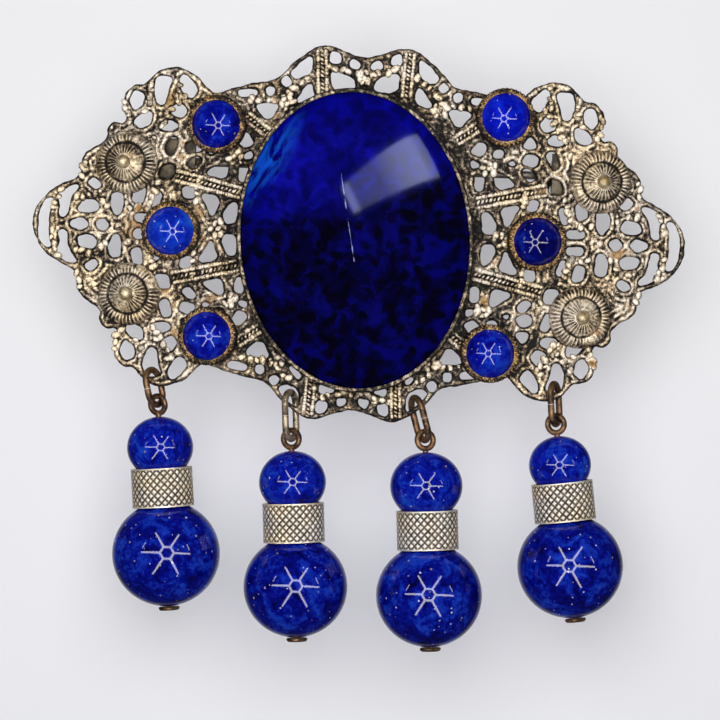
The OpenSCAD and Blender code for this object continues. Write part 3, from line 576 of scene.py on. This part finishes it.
class BROOCH_OT_centre(Operator):
    """Set the oval stone in its bezel"""
    bl_idname = "brooch.centre"
    bl_label = "Centre stone"

    def oval(self, rings, segments=192):
        """A wall through ovals of width, length and height, each drawn out of the last."""
        bm = bmesh.new()
        width, long, z = rings[0]
        made = bmesh.ops.create_circle(bm, cap_ends=False, segments=segments, radius=0.5)
        bmesh.ops.transform(bm, verts=made["verts"],
                            matrix=Matrix.Translation((0, 0, z)) @ Matrix.Diagonal((width, long, 1, 1)))
        edges = list(bm.edges)
        for next_width, next_long, next_z in rings[1:]:
            drawn = bmesh.ops.extrude_edge_only(bm, edges=edges)["geom"]
            verts, edges = verts_of(drawn), edges_of(drawn)
            bmesh.ops.scale(bm, vec=(next_width / width, next_long / long, 1), verts=verts)
            bmesh.ops.translate(bm, vec=(0, 0, next_z - z), verts=verts)
            width, long, z = next_width, next_long, next_z
        return bm, edges

    def execute(self, context):
        sizes = context.scene.brooch_metal
        place = (UPRIGHT @ Matrix.Translation((*STONE_PLACE, SOLDER_GAP))
                 @ Matrix.Rotation(math.radians(STONE_LEAN), 4, "Z"))
        width, long, floor, edge_h, dome, lens = 25.0, 32.4, 0.4, 1.5, 2.4, 1.6
        rings = [(width - 1, long - 1, floor), (width - 0.2, long - 0.2, floor), (width, long, floor + 0.1)]
        steps = 30
        for i in range(steps):
            a = math.radians(90 * i / steps)
            rings.append((width * math.cos(a), long * math.cos(a), floor + edge_h + dome * math.sin(a) ** lens))
        bm, last = self.oval(rings)
        top = bmesh.ops.edgeloop_fill(bm, edges=last)["faces"]
        bmesh.ops.poke(bm, faces=top)
        for vert in bm.verts:
            if len(vert.link_edges) > 8:
                vert.co.z = floor + edge_h + dome
        under = [e for e in bm.edges if e.is_boundary]
        bmesh.ops.edgeloop_fill(bm, edges=under)
        bmesh.ops.recalc_face_normals(bm, faces=bm.faces)
        finish_piece(bm, "oval_stone", "brooch", stone_glass(context.scene.brooch_glass),
                     ["centre_stone"], place, sharp=60)
        self.bezel(sizes, place, width, long, floor + edge_h)
        return {"FINISHED"}

    def bezel(self, sizes, place, width, long, grip):
        """A thin strip bent round the stone, its lip pressed in a little, on a sheet floor."""
        dull = washed_metal("Dull silvered bezel strip", silver_tones(sizes), sizes.bare_brass, bare_share=0.7,
                            level=-0.46)
        gap, wall, sunk = 0.1, 0.9, -0.75
        outside = gap + wall
        section = [(gap - wall, 0.35), (gap, 0.38), (gap, grip), (gap * 0.6, grip + 0.26),
                   (gap + wall * 0.35, grip + 0.36), (gap + wall * 0.75, grip + 0.3), (outside, grip + 0.12),
                   (outside, 0.1), (outside, sunk), (gap - wall, sunk)]
        bm, last = self.oval([(width + s, long + s, z) for s, z in section])
        first = [e for e in bm.edges if e.is_boundary and e not in set(last)]
        bmesh.ops.bridge_loops(bm, edges=first + last)
        bmesh.ops.recalc_face_normals(bm, faces=bm.faces)
        # The strip's foot follows the bow of the plate
        lean = Matrix.Rotation(math.radians(STONE_LEAN), 3, "Z")
        for vert in bm.verts:
            if vert.co.z < sunk / 2:
                vert.co.z = front_z((lean @ vert.co).x + STONE_PLACE[0])
        finish_piece(bm, "bezel_strip", "brooch", dull, ["centre_bezel"], place, sharp=50)


class BROOCH_OT_small_stones(Operator):
    """Set the six small domed stones in their toothed cups"""
    bl_idname = "brooch.small_stones"
    bl_label = "Small stones"

    def execute(self, context):
        sizes, glass = context.scene.brooch_metal, context.scene.brooch_glass
        tones = (sizes.patina, linear("#2c2015"), sizes.cup_brass, linear("#b8965c"))
        brass = washed_metal("Aged brass, toothed lip", tones, sizes.bare_brass, depth=0.4, level=-0.12)
        # Most of the small stones are alike, and three are odd ones: their colours and the size of their clouds
        clouded = fleck_glass("Cobalt glass, clouded", linear("#02044e"), linear("#060f98"), glass.bead_pale,
                              glass.fleck, 2.6)
        odd = {name: fleck_glass(f"Cobalt glass, {word}", *colours, glass.fleck, cloud_mm)
               for name, word, colours, cloud_mm in (
                   ("middle_left", "azure", (glass.bead_blue, linear("#0c2ab4"), linear("#1c5cd6")), 2.6),
                   ("upper_right", "vivid", (linear("#03077a"), linear("#0614b8"), linear("#1038e0")), 3.4),
                   ("middle_right", "dark", (glass.bead_deep, linear("#04096c"), linear("#0e2c9a")), 2.6))}
        radius, edge, dome, floor, gap, wall, lip = 2.75, 0.8, 1.8, 0.35, 0.05, 0.4, 0.3
        ball = (radius ** 2 + dome ** 2) / (2 * dome)
        reach = math.asin(radius / ball)
        steps = 24
        arc = [(ball * math.sin(reach * (1 - k / steps)),
                floor + edge + dome - ball * (1 - math.cos(reach * (1 - k / steps)))) for k in range(steps + 1)]
        grip = floor + edge + lip
        grip_r = math.sqrt(ball ** 2 - (lip + ball - dome) ** 2) + gap
        out_r = radius + gap + wall
        for name, place in CUP_PLACES.items():
            bm = spun([(0, floor), (radius - 0.1, floor), (radius, floor + 0.1)] + arc, 64)
            finish_piece(bm, f"domed_stone_{name}", "brooch",
                         odd.get(name, clouded), [f"cabochon_{name}"], on_plate(place), sharp=60)
            bm = spun([(0, 0), (out_r, 0), (out_r + 0.02, grip - 0.25), (out_r - 0.1, grip), (out_r - 0.3, grip + 0.12),
                       (grip_r, grip + 0.08), (grip_r, grip), (radius + gap, grip - 0.15), (radius + gap, floor),
                       (0, floor)], 80)
            for k in range(sizes.teeth):
                turn = Matrix.Rotation(2 * math.pi * k / sizes.teeth, 4, "Z")
                tooth = turn @ Matrix.Translation((out_r - 0.2, 0, grip + 0.02)) @ Matrix.Diagonal((0.27, 0.17, 0.2, 1))
                bmesh.ops.create_uvsphere(bm, u_segments=8, v_segments=6, radius=1, matrix=tooth)
            finish_piece(bm, f"toothed_cup_{name}", "brooch", brass, [f"cup_{name}"], on_plate(place),
                         sharp=50)
        return {"FINISHED"}


class BROOCH_OT_rosettes(Operator):
    """Make the four ribbed rosettes and the ball-headed rivets in them"""
    bl_idname = "brooch.rosettes"
    bl_label = "Rosettes"

    def execute(self, context):
        sizes = context.scene.brooch_metal
        wash = washed_metal("Silver-washed rosette", silver_tones(sizes), sizes.bare_brass, bare_share=0.68, depth=0.35,
                            level=0.32, crest=True, grit=0.5)
        brass = drawn_wire("Rubbed brass ball", linear("#e2d2b0"), linear("#9c8358"), 0.7)
        radius, high, flange, groove, sheet = 3.45, 2.0, 1.1, 2.208, 0.35
        top = [(radius - sheet, 0), (radius, 0), (radius, 0.25), (3.36, 0.52), (3.24, 0.72), (3.06, 0.94), (2.86, 1.08),
               (2.6, flange), (groove + 0.2, flange - 0.02), (groove + 0.08, flange - 0.14), (groove, flange - 0.2),
               (groove - 0.08, flange - 0.14), (groove - 0.2, flange), (1.9, 1.3), (1.65, 1.52), (1.4, 1.7),
               (1.1, 1.86), (0.78, high), (0.5, high)]
        under = [(0.5, high - sheet), (1.3, 1.38), (1.8, 1.0), (2.4, flange - sheet), (2.8, flange - sheet)]
        for which, (name, place) in enumerate(ROSETTE_PLACES.items()):
            bm = spun(top + under, 308, closed=True)
            crest = bm.verts.layers.float.new("crest")
            for vert in bm.verts:
                vert[crest] = self.rib(vert, groove, which)
            finish_piece(bm, f"ribbed_rosette_{name}", "brooch", wash, [f"rosette_{name}"],
                         on_plate(place), sharp=180)
            back, seat, ball = -PLATE_T - 2 * SOLDER_GAP, high + SOLDER_GAP, 0.78
            head = [(ball * math.cos(math.radians(90 * k / 10)), seat + ball * math.sin(math.radians(90 * k / 10)))
                    for k in range(10)]
            bm = spun([(0, back - 0.3), (0.6, back - 0.3), (0.85, back - 0.15), (0.9, back), (0.45, back), (0.45, seat)]
                      + head + [(0, seat + ball)], 32)
            finish_piece(bm, f"ball_rivet_{name}", "brooch", brass, [f"rosette_rivet_{name}"],
                         on_plate(place), sharp=50)
        return {"FINISHED"}

    def rib(self, vert, groove, which):
        """Presses one point of the shell into its radial ribs, 44 on the flange and 28 on the cone, and tells
        how near it is to a crest."""
        r, a = math.hypot(vert.co.x, vert.co.y), math.atan2(vert.co.y, vert.co.x)
        if vert.co.z < 0.3 or 0.82 > r:
            return 0.6
        outer = r > groove
        ribs, depth = (44, 0.22) if outer else (28, 0.19)
        fade = min(1.0, max(0.0, abs(r - groove) - 0.08) / 0.14)
        # Here and there the ribs are rubbed flat
        rubbed = min(1.0, max(0.0, 3 * noise.noise(Vector((vert.co.x / 2.6, vert.co.y / 2.6, which))) - 0.4))
        wave = (0.5 + 0.5 * math.cos(ribs * a)) * (1 - rubbed) + 0.6 * rubbed
        sink = depth * fade * (1 - wave)
        vert.co.z -= sink
        if outer:
            shrink = 1 - 0.6 * sink / r
            vert.co.x *= shrink
            vert.co.y *= shrink
        return (0.1 + 0.9 * wave) * fade - 0.4 * (1 - fade)


class BROOCH_OT_wire(Operator):
    """Bend the jump rings and the eyes of the head pins"""
    bl_idname = "brooch.wire"
    bl_label = "Rings and head pins"

    def execute(self, context):
        sizes = context.scene.brooch_metal
        copper = drawn_wire("Aged copper wire", sizes.copper, linear("#2e2118"), 0.9)
        plated = drawn_wire("Worn plated wire", sizes.silver_mid, linear("#4a3a2a"), 0.9)
        for n in range(1, 5):
            self.ring(n, plated if n == 2 else copper)
            self.head_pin(n, copper)
        return {"FINISHED"}

    def ring(self, n, wire):
        """An oval link, swept from one side of its cut to the other."""
        heart, eye = middle(f"jump_ring_{n}"), eye_of(n)
        up = (heart - eye).normalized()
        out = Vector(JOINTS[f"drop_swing_{n}"]["axis"]).cross(up).normalized()
        side = up.cross(out)
        stand = Matrix((side, up, out)).transposed().to_4x4()
        place = Matrix.Translation(heart) @ stand @ Matrix.Scale(MM, 4)
        arc_r, wire_r, cut, steps = 1.33, 0.37, 0.05, 20
        straight = 2 * (heart - eye).length / MM - 2 * arc_r
        bm = bmesh.new()
        section = Matrix.Translation((arc_r, cut / 2, 0)) @ Matrix.Rotation(math.pi / 2, 4, "X")
        bmesh.ops.create_circle(bm, cap_ends=True, segments=16, radius=wire_r, matrix=section)
        edges = self.draw_out(bm, list(bm.edges), straight / 2 - cut / 2)
        edges = self.bend(bm, edges, straight / 2, steps)
        edges = self.draw_out(bm, edges, -straight)
        edges = self.bend(bm, edges, -straight / 2, steps)
        edges = self.draw_out(bm, edges, straight / 2 - cut / 2)
        bmesh.ops.edgeloop_fill(bm, edges=edges)
        bmesh.ops.remove_doubles(bm, verts=bm.verts, dist=1e-4)
        bmesh.ops.recalc_face_normals(bm, faces=bm.faces)
        finish_piece(bm, f"oval_link_{n}", f"ring_{n}", wire, [f"jump_ring_{n}"], place, sharp=60)

    def draw_out(self, bm, edges, distance):
        """Draws the wire's end straight on."""
        drawn = bmesh.ops.extrude_edge_only(bm, edges=edges)["geom"]
        bmesh.ops.translate(bm, vec=(0, distance, 0), verts=verts_of(drawn))
        return edges_of(drawn)

    def bend(self, bm, edges, y, steps):
        """Bends the wire's end half a turn round a point on the link's middle line."""
        verts = list(dict.fromkeys(v for e in edges for v in e.verts))
        swung = bmesh.ops.spin(bm, geom=verts + edges, cent=(0, y, 0), axis=(0, 0, 1), angle=math.pi, steps=steps,
                               use_merge=False, use_duplicate=False)["geom_last"]
        return edges_of(swung)

    def head_pin(self, n, wire):
        """A closed eye, a straight shank through the beads and a flat head under the last one."""
        hinge = Vector(JOINTS[f"drop_swing_{n}"]["axis"])
        eye_r, wire_r, shank_r, head_r, head_t = 0.95, 0.32, 0.3, 1.15, 0.4
        _, high, at = bead_size("large_bead", n)
        end = at + high / 2 + STACK_GAP
        bm = bmesh.new()
        section = Matrix.Translation((eye_r, 0, 0)) @ Matrix.Rotation(math.pi / 2, 4, "X")
        made = bmesh.ops.create_circle(bm, cap_ends=False, segments=14, radius=wire_r, matrix=section)
        bmesh.ops.spin(bm, geom=made["verts"] + list(bm.edges), cent=(0, 0, 0), axis=(0, 0, 1), angle=2 * math.pi,
                       steps=40, use_merge=True, use_duplicate=False)
        bmesh.ops.recalc_face_normals(bm, faces=bm.faces)
        ring = Matrix.Translation(eye_of(n)) @ hinge.to_track_quat("Z", "Y").to_matrix().to_4x4() @ Matrix.Scale(MM, 4)
        bmesh.ops.transform(bm, matrix=ring, verts=bm.verts)
        shank = spun([(0, eye_r), (shank_r, eye_r), (shank_r, end), (head_r - 0.08, end), (head_r, end + 0.1),
                      (head_r, end + head_t - 0.15), (head_r - 0.15, end + head_t), (0, end + head_t)], 28)
        bmesh.ops.transform(shank, matrix=on_drop(n), verts=shank.verts)
        half = bpy.data.meshes.new("shank")
        shank.to_mesh(half)
        shank.free()
        bm.from_mesh(half)
        bpy.data.meshes.remove(half)
        finish_piece(bm, f"eye_pin_{n}", f"drop_{n}", wire, [f"head_pin_{n}"], sharp=50)


class BROOCH_OT_beads(Operator):
    """Turn the glass beads of the four drops"""
    bl_idname = "brooch.beads"
    bl_label = "Beads"

    def execute(self, context):
        glass = context.scene.brooch_glass
        lapis = {"large_bead": fleck_glass("Pressed glass, lapis colour", glass.bead_deep, glass.bead_blue,
                                           glass.bead_pale, glass.fleck, 2.1),
                 "small_bead": fleck_glass("Pressed glass, paler lapis colour", linear("#02054a"), linear("#06149a"),
                                           linear("#1c4cc8"), glass.fleck, 1.8)}
        bore, steps = 0.36, 28
        for kind in BEAD_SHARE:
            for n in range(1, 5):
                width, high, at = bead_size(kind, n)
                reach = math.acos(2 * bore / width)
                half = [(width / 2 * math.cos(reach * k / steps), at + high / 2 * math.sin(reach * k / steps))
                        for k in range(-steps, steps + 1)]
                finish_piece(spun(half, 72, closed=True), f"glass_{kind}_{n}", f"{kind}_{n}_body",
                             lapis[kind], [f"{kind}_{n}"], on_drop(n), sharp=60)
        return {"FINISHED"}


class BROOCH_OT_tubes(Operator):
    """Knurl the four tubes between the beads"""
    bl_idname = "brooch.tubes"
    bl_label = "Knurled tubes"

    def execute(self, context):
        sizes = context.scene.brooch_metal
        tones = (linear("#1d1913"), linear("#7d766a"), linear("#c4bdb0"), sizes.nickel)
        nickel = washed_metal("Nickel silver, diamond knurl", tones, sizes.bare_brass, bare_share=0.8, depth=0.3,
                              level=0.1, crest=True, front=False, shine=(0.6, 0.6), grit=0.16)
        radius, bore, high, rim = 3.4, 2.8, 4.3, 0.2
        rows, around, steps, groove = 60, 26, 416, 0.15
        pitch = 2 * math.pi * radius / around
        for n in range(1, 5):
            at = (middle(f"knurled_tube_{n}") - eye_of(n)).length / MM
            outside = [(radius, at + high * (k / rows - 0.5)) for k in range(rows + 1)]
            bm = spun(outside + [(bore, at + high / 2), (bore, at - high / 2)], steps, closed=True)
            crest = bm.verts.layers.float.new("crest")
            for vert in bm.verts:
                x, y, z = vert.co
                vert[crest] = 0.9
                if math.hypot(x, y) > radius - 0.01 and abs(z - at) < high / 2 - rim:
                    arc = math.atan2(y, x) * radius
                    across = [abs((arc + s * (z - at)) / pitch % 1 - 0.5) * 2 for s in (1, -1)]
                    cut = max(0.0, (max(across) - 0.3) / 0.7)
                    shrink = 1 - groove * cut / radius
                    vert.co = (x * shrink, y * shrink, z)
                    vert[crest] = min(1.1, 2 * (1 - cut) ** 1.4)
            finish_piece(bm, f"knurled_sleeve_{n}", f"knurled_tube_{n}_body", nickel,
                         [f"knurled_tube_{n}"], on_drop(n), sharp=50)
        return {"FINISHED"}


class BROOCH_OT_findings(Operator):
    """Ease the edges of the hinge, pin and catch behind the plate"""
    bl_idname = "brooch.findings"
    bl_label = "Pin and catch"

    def execute(self, context):
        sizes = context.scene.brooch_metal
        # Dull brass, darkened further as painted shade, since it is seen behind the plate through its openings
        brass = drawn_wire("Dull brass finding, darkened as painted shade", linear("#574d3c"), linear("#272219"), 1.4)
        steel = drawn_wire("Drawn steel pin", sizes.steel, linear("#4c4740"), 1.1)
        for node, body, slot, metal in (
                ("hinge_bracket", "brooch", "finding_brass", brass), ("hinge_rivet", "brooch", "finding_brass", brass),
                ("catch_body", "brooch", "finding_brass", brass), ("catch_lever", "lever", "finding_brass", brass),
                ("pin_stem", "pin", "pin_steel", steel)):
            bm = bmesh.new()
            bm.from_mesh(frame["nodes"][node].data)
            bmesh.ops.remove_doubles(bm, verts=bm.verts, dist=WELD)
            bmesh.ops.dissolve_limit(bm, angle_limit=math.radians(1), verts=bm.verts, edges=bm.edges)
            sharp = [e for e in bm.edges if len(e.link_faces) == 2 and e.calc_face_angle() > math.radians(40)]
            bmesh.ops.bevel(bm, geom=sharp, offset=0.06 * MM, offset_type="OFFSET", segments=2, profile=0.5,
                            affect="EDGES", clamp_overlap=True, material=-1)
            finish_piece(bm, f"eased_{node}", body, metal, [node], sharp=40)
        return {"FINISHED"}


class BROOCH_OT_stage(Operator):
    """Set up the camera, the strip lamps and the pale paper"""
    bl_idname = "brooch.stage"
    bl_label = "Stage"

    def execute(self, context):
        values = context.scene.brooch_stage
        scene = context.scene
        scene.view_settings.view_transform = "Standard"
        aim = Vector((-0.275, -4.6, -21.27)) * MM
        lens = bpy.data.cameras.new("camera")
        lens.sensor_width = 36
        lens.lens = 36 * values.distance / values.field
        lens.clip_start = 0.01
        camera = bpy.data.objects.new("camera", lens)
        camera.matrix_world = (Matrix.Translation(aim + Vector((0, -values.distance, 0)))
                               @ Matrix.Rotation(math.pi / 2, 4, "X") @ Matrix.Rotation(values.roll, 4, "Z"))
        scene.collection.objects.link(camera)
        scene.camera = camera
        self.lamps(scene, values, aim)
        self.room(scene, values)
        self.paper(scene, values)
        return {"FINISHED"}

    def lamps(self, scene, values, aim):
        """A lamp beside the lens lights the brooch, and a star of strips round the lens is mirrored in it.
        The broad centre stone mirrors a panel up on the right instead."""
        stone = bpy.data.collections.new("mirrors_the_panel")
        stone.objects.link(bpy.data.objects["oval_stone"])
        rest = bpy.data.collections.new("mirrors_the_star")
        rest.objects.link(bpy.data.objects["oval_stone"])
        rest.collection_objects[0].light_linking.link_state = "EXCLUDE"
        depth, inner, outer, strip = 0.26, 0.06, 0.36, 0.022
        front = Matrix.Translation(aim + Vector((0, -depth, 0)))
        face = Matrix.Rotation(math.pi / 2, 4, "X")
        star = []
        for k in range(6):
            spoke = Matrix.Rotation(math.radians(60 * k), 4, "Y") @ Matrix.Translation(((inner + outer) / 2, 0, 0))
            side = Matrix.Rotation(math.radians(60 * k + 30), 4, "Y") @ Matrix.Translation((inner, 0, 0))
            star += [(f"strip_{k}", (outer - inner, strip), spoke), (f"hub_{k}", (strip, inner * 1.15), side)]
        for side in (-1, 1):
            hook = Matrix.Translation((side * 0.31, 0, 0.1)) @ Matrix.Rotation(math.radians(side * 62), 4, "Y")
            star.append((f"hook_{side}", (0.1, strip), hook))
        for name, size, place in star:
            lamp = self.lamp(scene, name, size, values.spoke_light, front @ place @ face, rest)
            lamp.visible_diffuse = False
        flash = Matrix.Translation(Vector((-16, -265, 18)) * MM)
        for name, size, light, lit in (("flash", (0.2, 0.2), values.flash_light, rest),
                                       ("stone_flash", (0.3, 0.3), values.fill_light, stone)):
            turn = (-flash.translation).to_track_quat("-Z", "Y").to_matrix().to_4x4()
            lamp = self.lamp(scene, name, size, light, flash @ turn, lit)
            lamp.visible_glossy = False
        back = self.lamp(scene, "back", (0.3, 0.3), values.back_light,
                         Matrix.Translation((0, 0.3, 0.05)) @ Matrix.Rotation(-math.pi / 2, 4, "X"))
        back.visible_glossy = False
        self.panel(scene, values, stone)

    def panel(self, scene, values, stone):
        """Runs from far off on the left to close by on the right, where it is brighter."""
        far, near, across = (Vector(v) * MM for v in ((-20, -400, 62), (100, -150, 80), (-35, 0, 35)))
        along = (near - far).normalized()
        up = (across - along * across.dot(along)).normalized()
        stand = Matrix((along, up, along.cross(up))).transposed().to_4x4()
        heart = (far + near) / 2
        lamp = self.lamp(scene, "panel", ((near - far).length, across.length), values.panel_light,
                         Matrix.Translation(heart) @ stand, stone)
        lamp.data.color = linear("#d3dcff")[:3]
        lamp.data.use_nodes = True
        tree = lamp.data.node_tree
        point = add(tree, "NewGeometry")
        reach = add(tree, "VectorMath", {0: point.outputs["Position"], 1: along}, operation="DOT_PRODUCT")
        share = add(tree, "MapRange", {"Value": reach, "From Min": far.dot(along), "From Max": near.dot(along)})
        fade = add(tree, "ValToRGB", {0: share})
        steps = fade.color_ramp.elements
        steps[0].position, steps[0].color = 0.1, (0.8,) * 3 + (1,)
        steps[1].position, steps[1].color = 1.0, (0.45,) * 3 + (1,)
        for position, bright in ((0.16, 0.22), (0.5, 0.3), (0.72, 0.8), (0.88, 1.0)):
            steps.new(position).color = (bright,) * 3 + (1,)
        feed(tree, tree.nodes["Emission"], {"Strength": fade})

    def lamp(self, scene, name, size, radiance, place, lit=None):
        """A rectangular lamp of a given radiance that shines along its own -Z on what it is meant for."""
        light = bpy.data.lights.new(name, "AREA")
        light.shape = "RECTANGLE"
        light.size, light.size_y = size
        light.energy = radiance * math.pi * size[0] * size[1]
        lamp = bpy.data.objects.new(name, light)
        lamp.matrix_world = place
        if lit is not None:
            lamp.light_linking.receiver_collection = lit
        scene.collection.objects.link(lamp)
        return lamp

    def room(self, scene, values):
        """A dim room, with pale paper all round for the eye."""
        world = bpy.data.worlds.new("studio_room")
        world.use_nodes = True
        tree = world.node_tree
        dim = tree.nodes["Background"]
        feed(tree, dim, {"Color": linear("#f4f5fa"), "Strength": values.room_light})
        pale = add(tree, "Background", {"Color": linear("#eeeff1"), "Strength": 1.0})
        # A mirror sees the paper at a slant only, so that round glass has a pale rim
        where = add(tree, "TexCoord")
        parts = add(tree, "SeparateXYZ", {0: where.outputs["Generated"]})
        slant = add(tree, "MapRange", {"Value": parts.outputs["Y"], "From Min": 0.7, "To Max": 0.6})
        ray = add(tree, "LightPath")
        rim = add(tree, "Math", {0: slant, 1: ray.outputs["Is Glossy Ray"]}, operation="MULTIPLY")
        share = add(tree, "Math", {0: self.seen(tree), 1: rim}, operation="MAXIMUM")
        shown = add(tree, "MixShader", {0: share, 1: dim, 2: pale})
        feed(tree, tree.nodes["World Output"], {"Surface": shown})
        scene.world = world

    def seen(self, tree):
        """1 for what the eye sees straight or through glass."""
        ray = add(tree, "LightPath")
        return add(tree, "Math", {0: ray.outputs["Is Camera Ray"], 1: ray.outputs["Is Transmission Ray"]},
                   operation="MAXIMUM")

    def paper(self, scene, values):
        """Pale paper that sweeps up behind the brooch and keeps its shadow. It shows from the front only, so
        that the brooch can be seen from behind as well."""
        bm = bmesh.new()
        low, back, wide, bend, ahead = -0.3, 0.0155, 1.6, 0.015, -0.1
        edge = [bm.verts.new((-wide, ahead, low)), bm.verts.new((-wide, back - bend, low))]
        bm.edges.new(edge)
        last = bmesh.ops.spin(bm, geom=[edge[1]], cent=(0, back - bend, low + bend), axis=(1, 0, 0), angle=math.pi / 2,
                              steps=16)["geom_last"]
        rise = bmesh.ops.extrude_vert_indiv(bm, verts=verts_of(last))["verts"]
        bmesh.ops.translate(bm, vec=(0, 0, 1.4), verts=rise)
        swept = bmesh.ops.extrude_edge_only(bm, edges=list(bm.edges))["geom"]
        bmesh.ops.translate(bm, vec=(2 * wide, 0, 0), verts=verts_of(swept))
        bmesh.ops.recalc_face_normals(bm, faces=bm.faces)
        bm.normal_update()
        if sum((f.normal.z - f.normal.y for f in bm.faces), 0.0) < 0:
            bmesh.ops.reverse_faces(bm, faces=bm.faces)
        made, tree, shader = material("Pale matt paper")
        feed(tree, shader, {"Base Color": values.paper, "Roughness": 0.95, "Specular IOR Level": 0.1})
        glow = add(tree, "Emission", {"Color": values.paper, "Strength": 1.0})
        share = add(tree, "Math", {0: self.seen(tree), 1: values.paper_share}, operation="MULTIPLY")
        lit = add(tree, "MixShader", {0: share, 1: shader, 2: glow})
        side = add(tree, "NewGeometry")
        clear = add(tree, "BsdfTransparent")
        shown = add(tree, "MixShader", {0: side.outputs["Backfacing"], 1: lit, 2: clear})
        feed(tree, tree.nodes["Material Output"], {"Surface": shown})
        mesh = bpy.data.meshes.new("paper_sweep")
        bm.to_mesh(mesh)
        bm.free()
        mesh.polygons.foreach_set("use_smooth", [True] * len(mesh.polygons))
        sweep = bpy.data.objects.new("paper_sweep", mesh)
        mesh.materials.append(made)
        sweep.visible_glossy = False
        scene.collection.objects.link(sweep)
        # The lamp behind the brooch shines through the paper
        through = bpy.data.collections.new("lit_from_behind")
        through.objects.link(sweep)
        through.collection_objects[0].light_linking.link_state = "EXCLUDE"
        bpy.data.objects["back"].light_linking.blocker_collection = through


OPERATORS = (BROOCH_OT_plate, BROOCH_OT_centre, BROOCH_OT_small_stones, BROOCH_OT_rosettes, BROOCH_OT_wire,
             BROOCH_OT_beads, BROOCH_OT_tubes, BROOCH_OT_findings, BROOCH_OT_stage)


class BROOCH_PT_panel(Panel):
    """The brooch's sizes and steps"""
    bl_label = "Brooch"
    bl_idname = "BROOCH_PT_panel"
    bl_space_type = "VIEW_3D"
    bl_region_type = "UI"
    bl_category = "Brooch"

    def draw(self, context):
        for group in (context.scene.brooch_metal, context.scene.brooch_glass, context.scene.brooch_stage):
            column = self.layout.column()
            for name in group.__annotations__:
                column.prop(group, name)
        for step in OPERATORS:
            self.layout.operator(step.bl_idname)


CLASSES = (BroochMetal, BroochGlass, BroochStage, *OPERATORS, BROOCH_PT_panel)


def register():
    for each in CLASSES:
        bpy.utils.register_class(each)
    bpy.types.Scene.brooch_metal = PointerProperty(type=BroochMetal)
    bpy.types.Scene.brooch_glass = PointerProperty(type=BroochGlass)
    bpy.types.Scene.brooch_stage = PointerProperty(type=BroochStage)


def unregister():
    del bpy.types.Scene.brooch_stage, bpy.types.Scene.brooch_glass, bpy.types.Scene.brooch_metal
    for each in reversed(CLASSES):
        bpy.utils.unregister_class(each)


def main():
    register()
    bpy.ops.brooch.plate()
    bpy.ops.brooch.centre()
    bpy.ops.brooch.small_stones()
    bpy.ops.brooch.rosettes()
    bpy.ops.brooch.wire()
    bpy.ops.brooch.beads()
    bpy.ops.brooch.tubes()
    bpy.ops.brooch.findings()
    bpy.ops.brooch.stage()


if __name__ == "__main__":
    main()
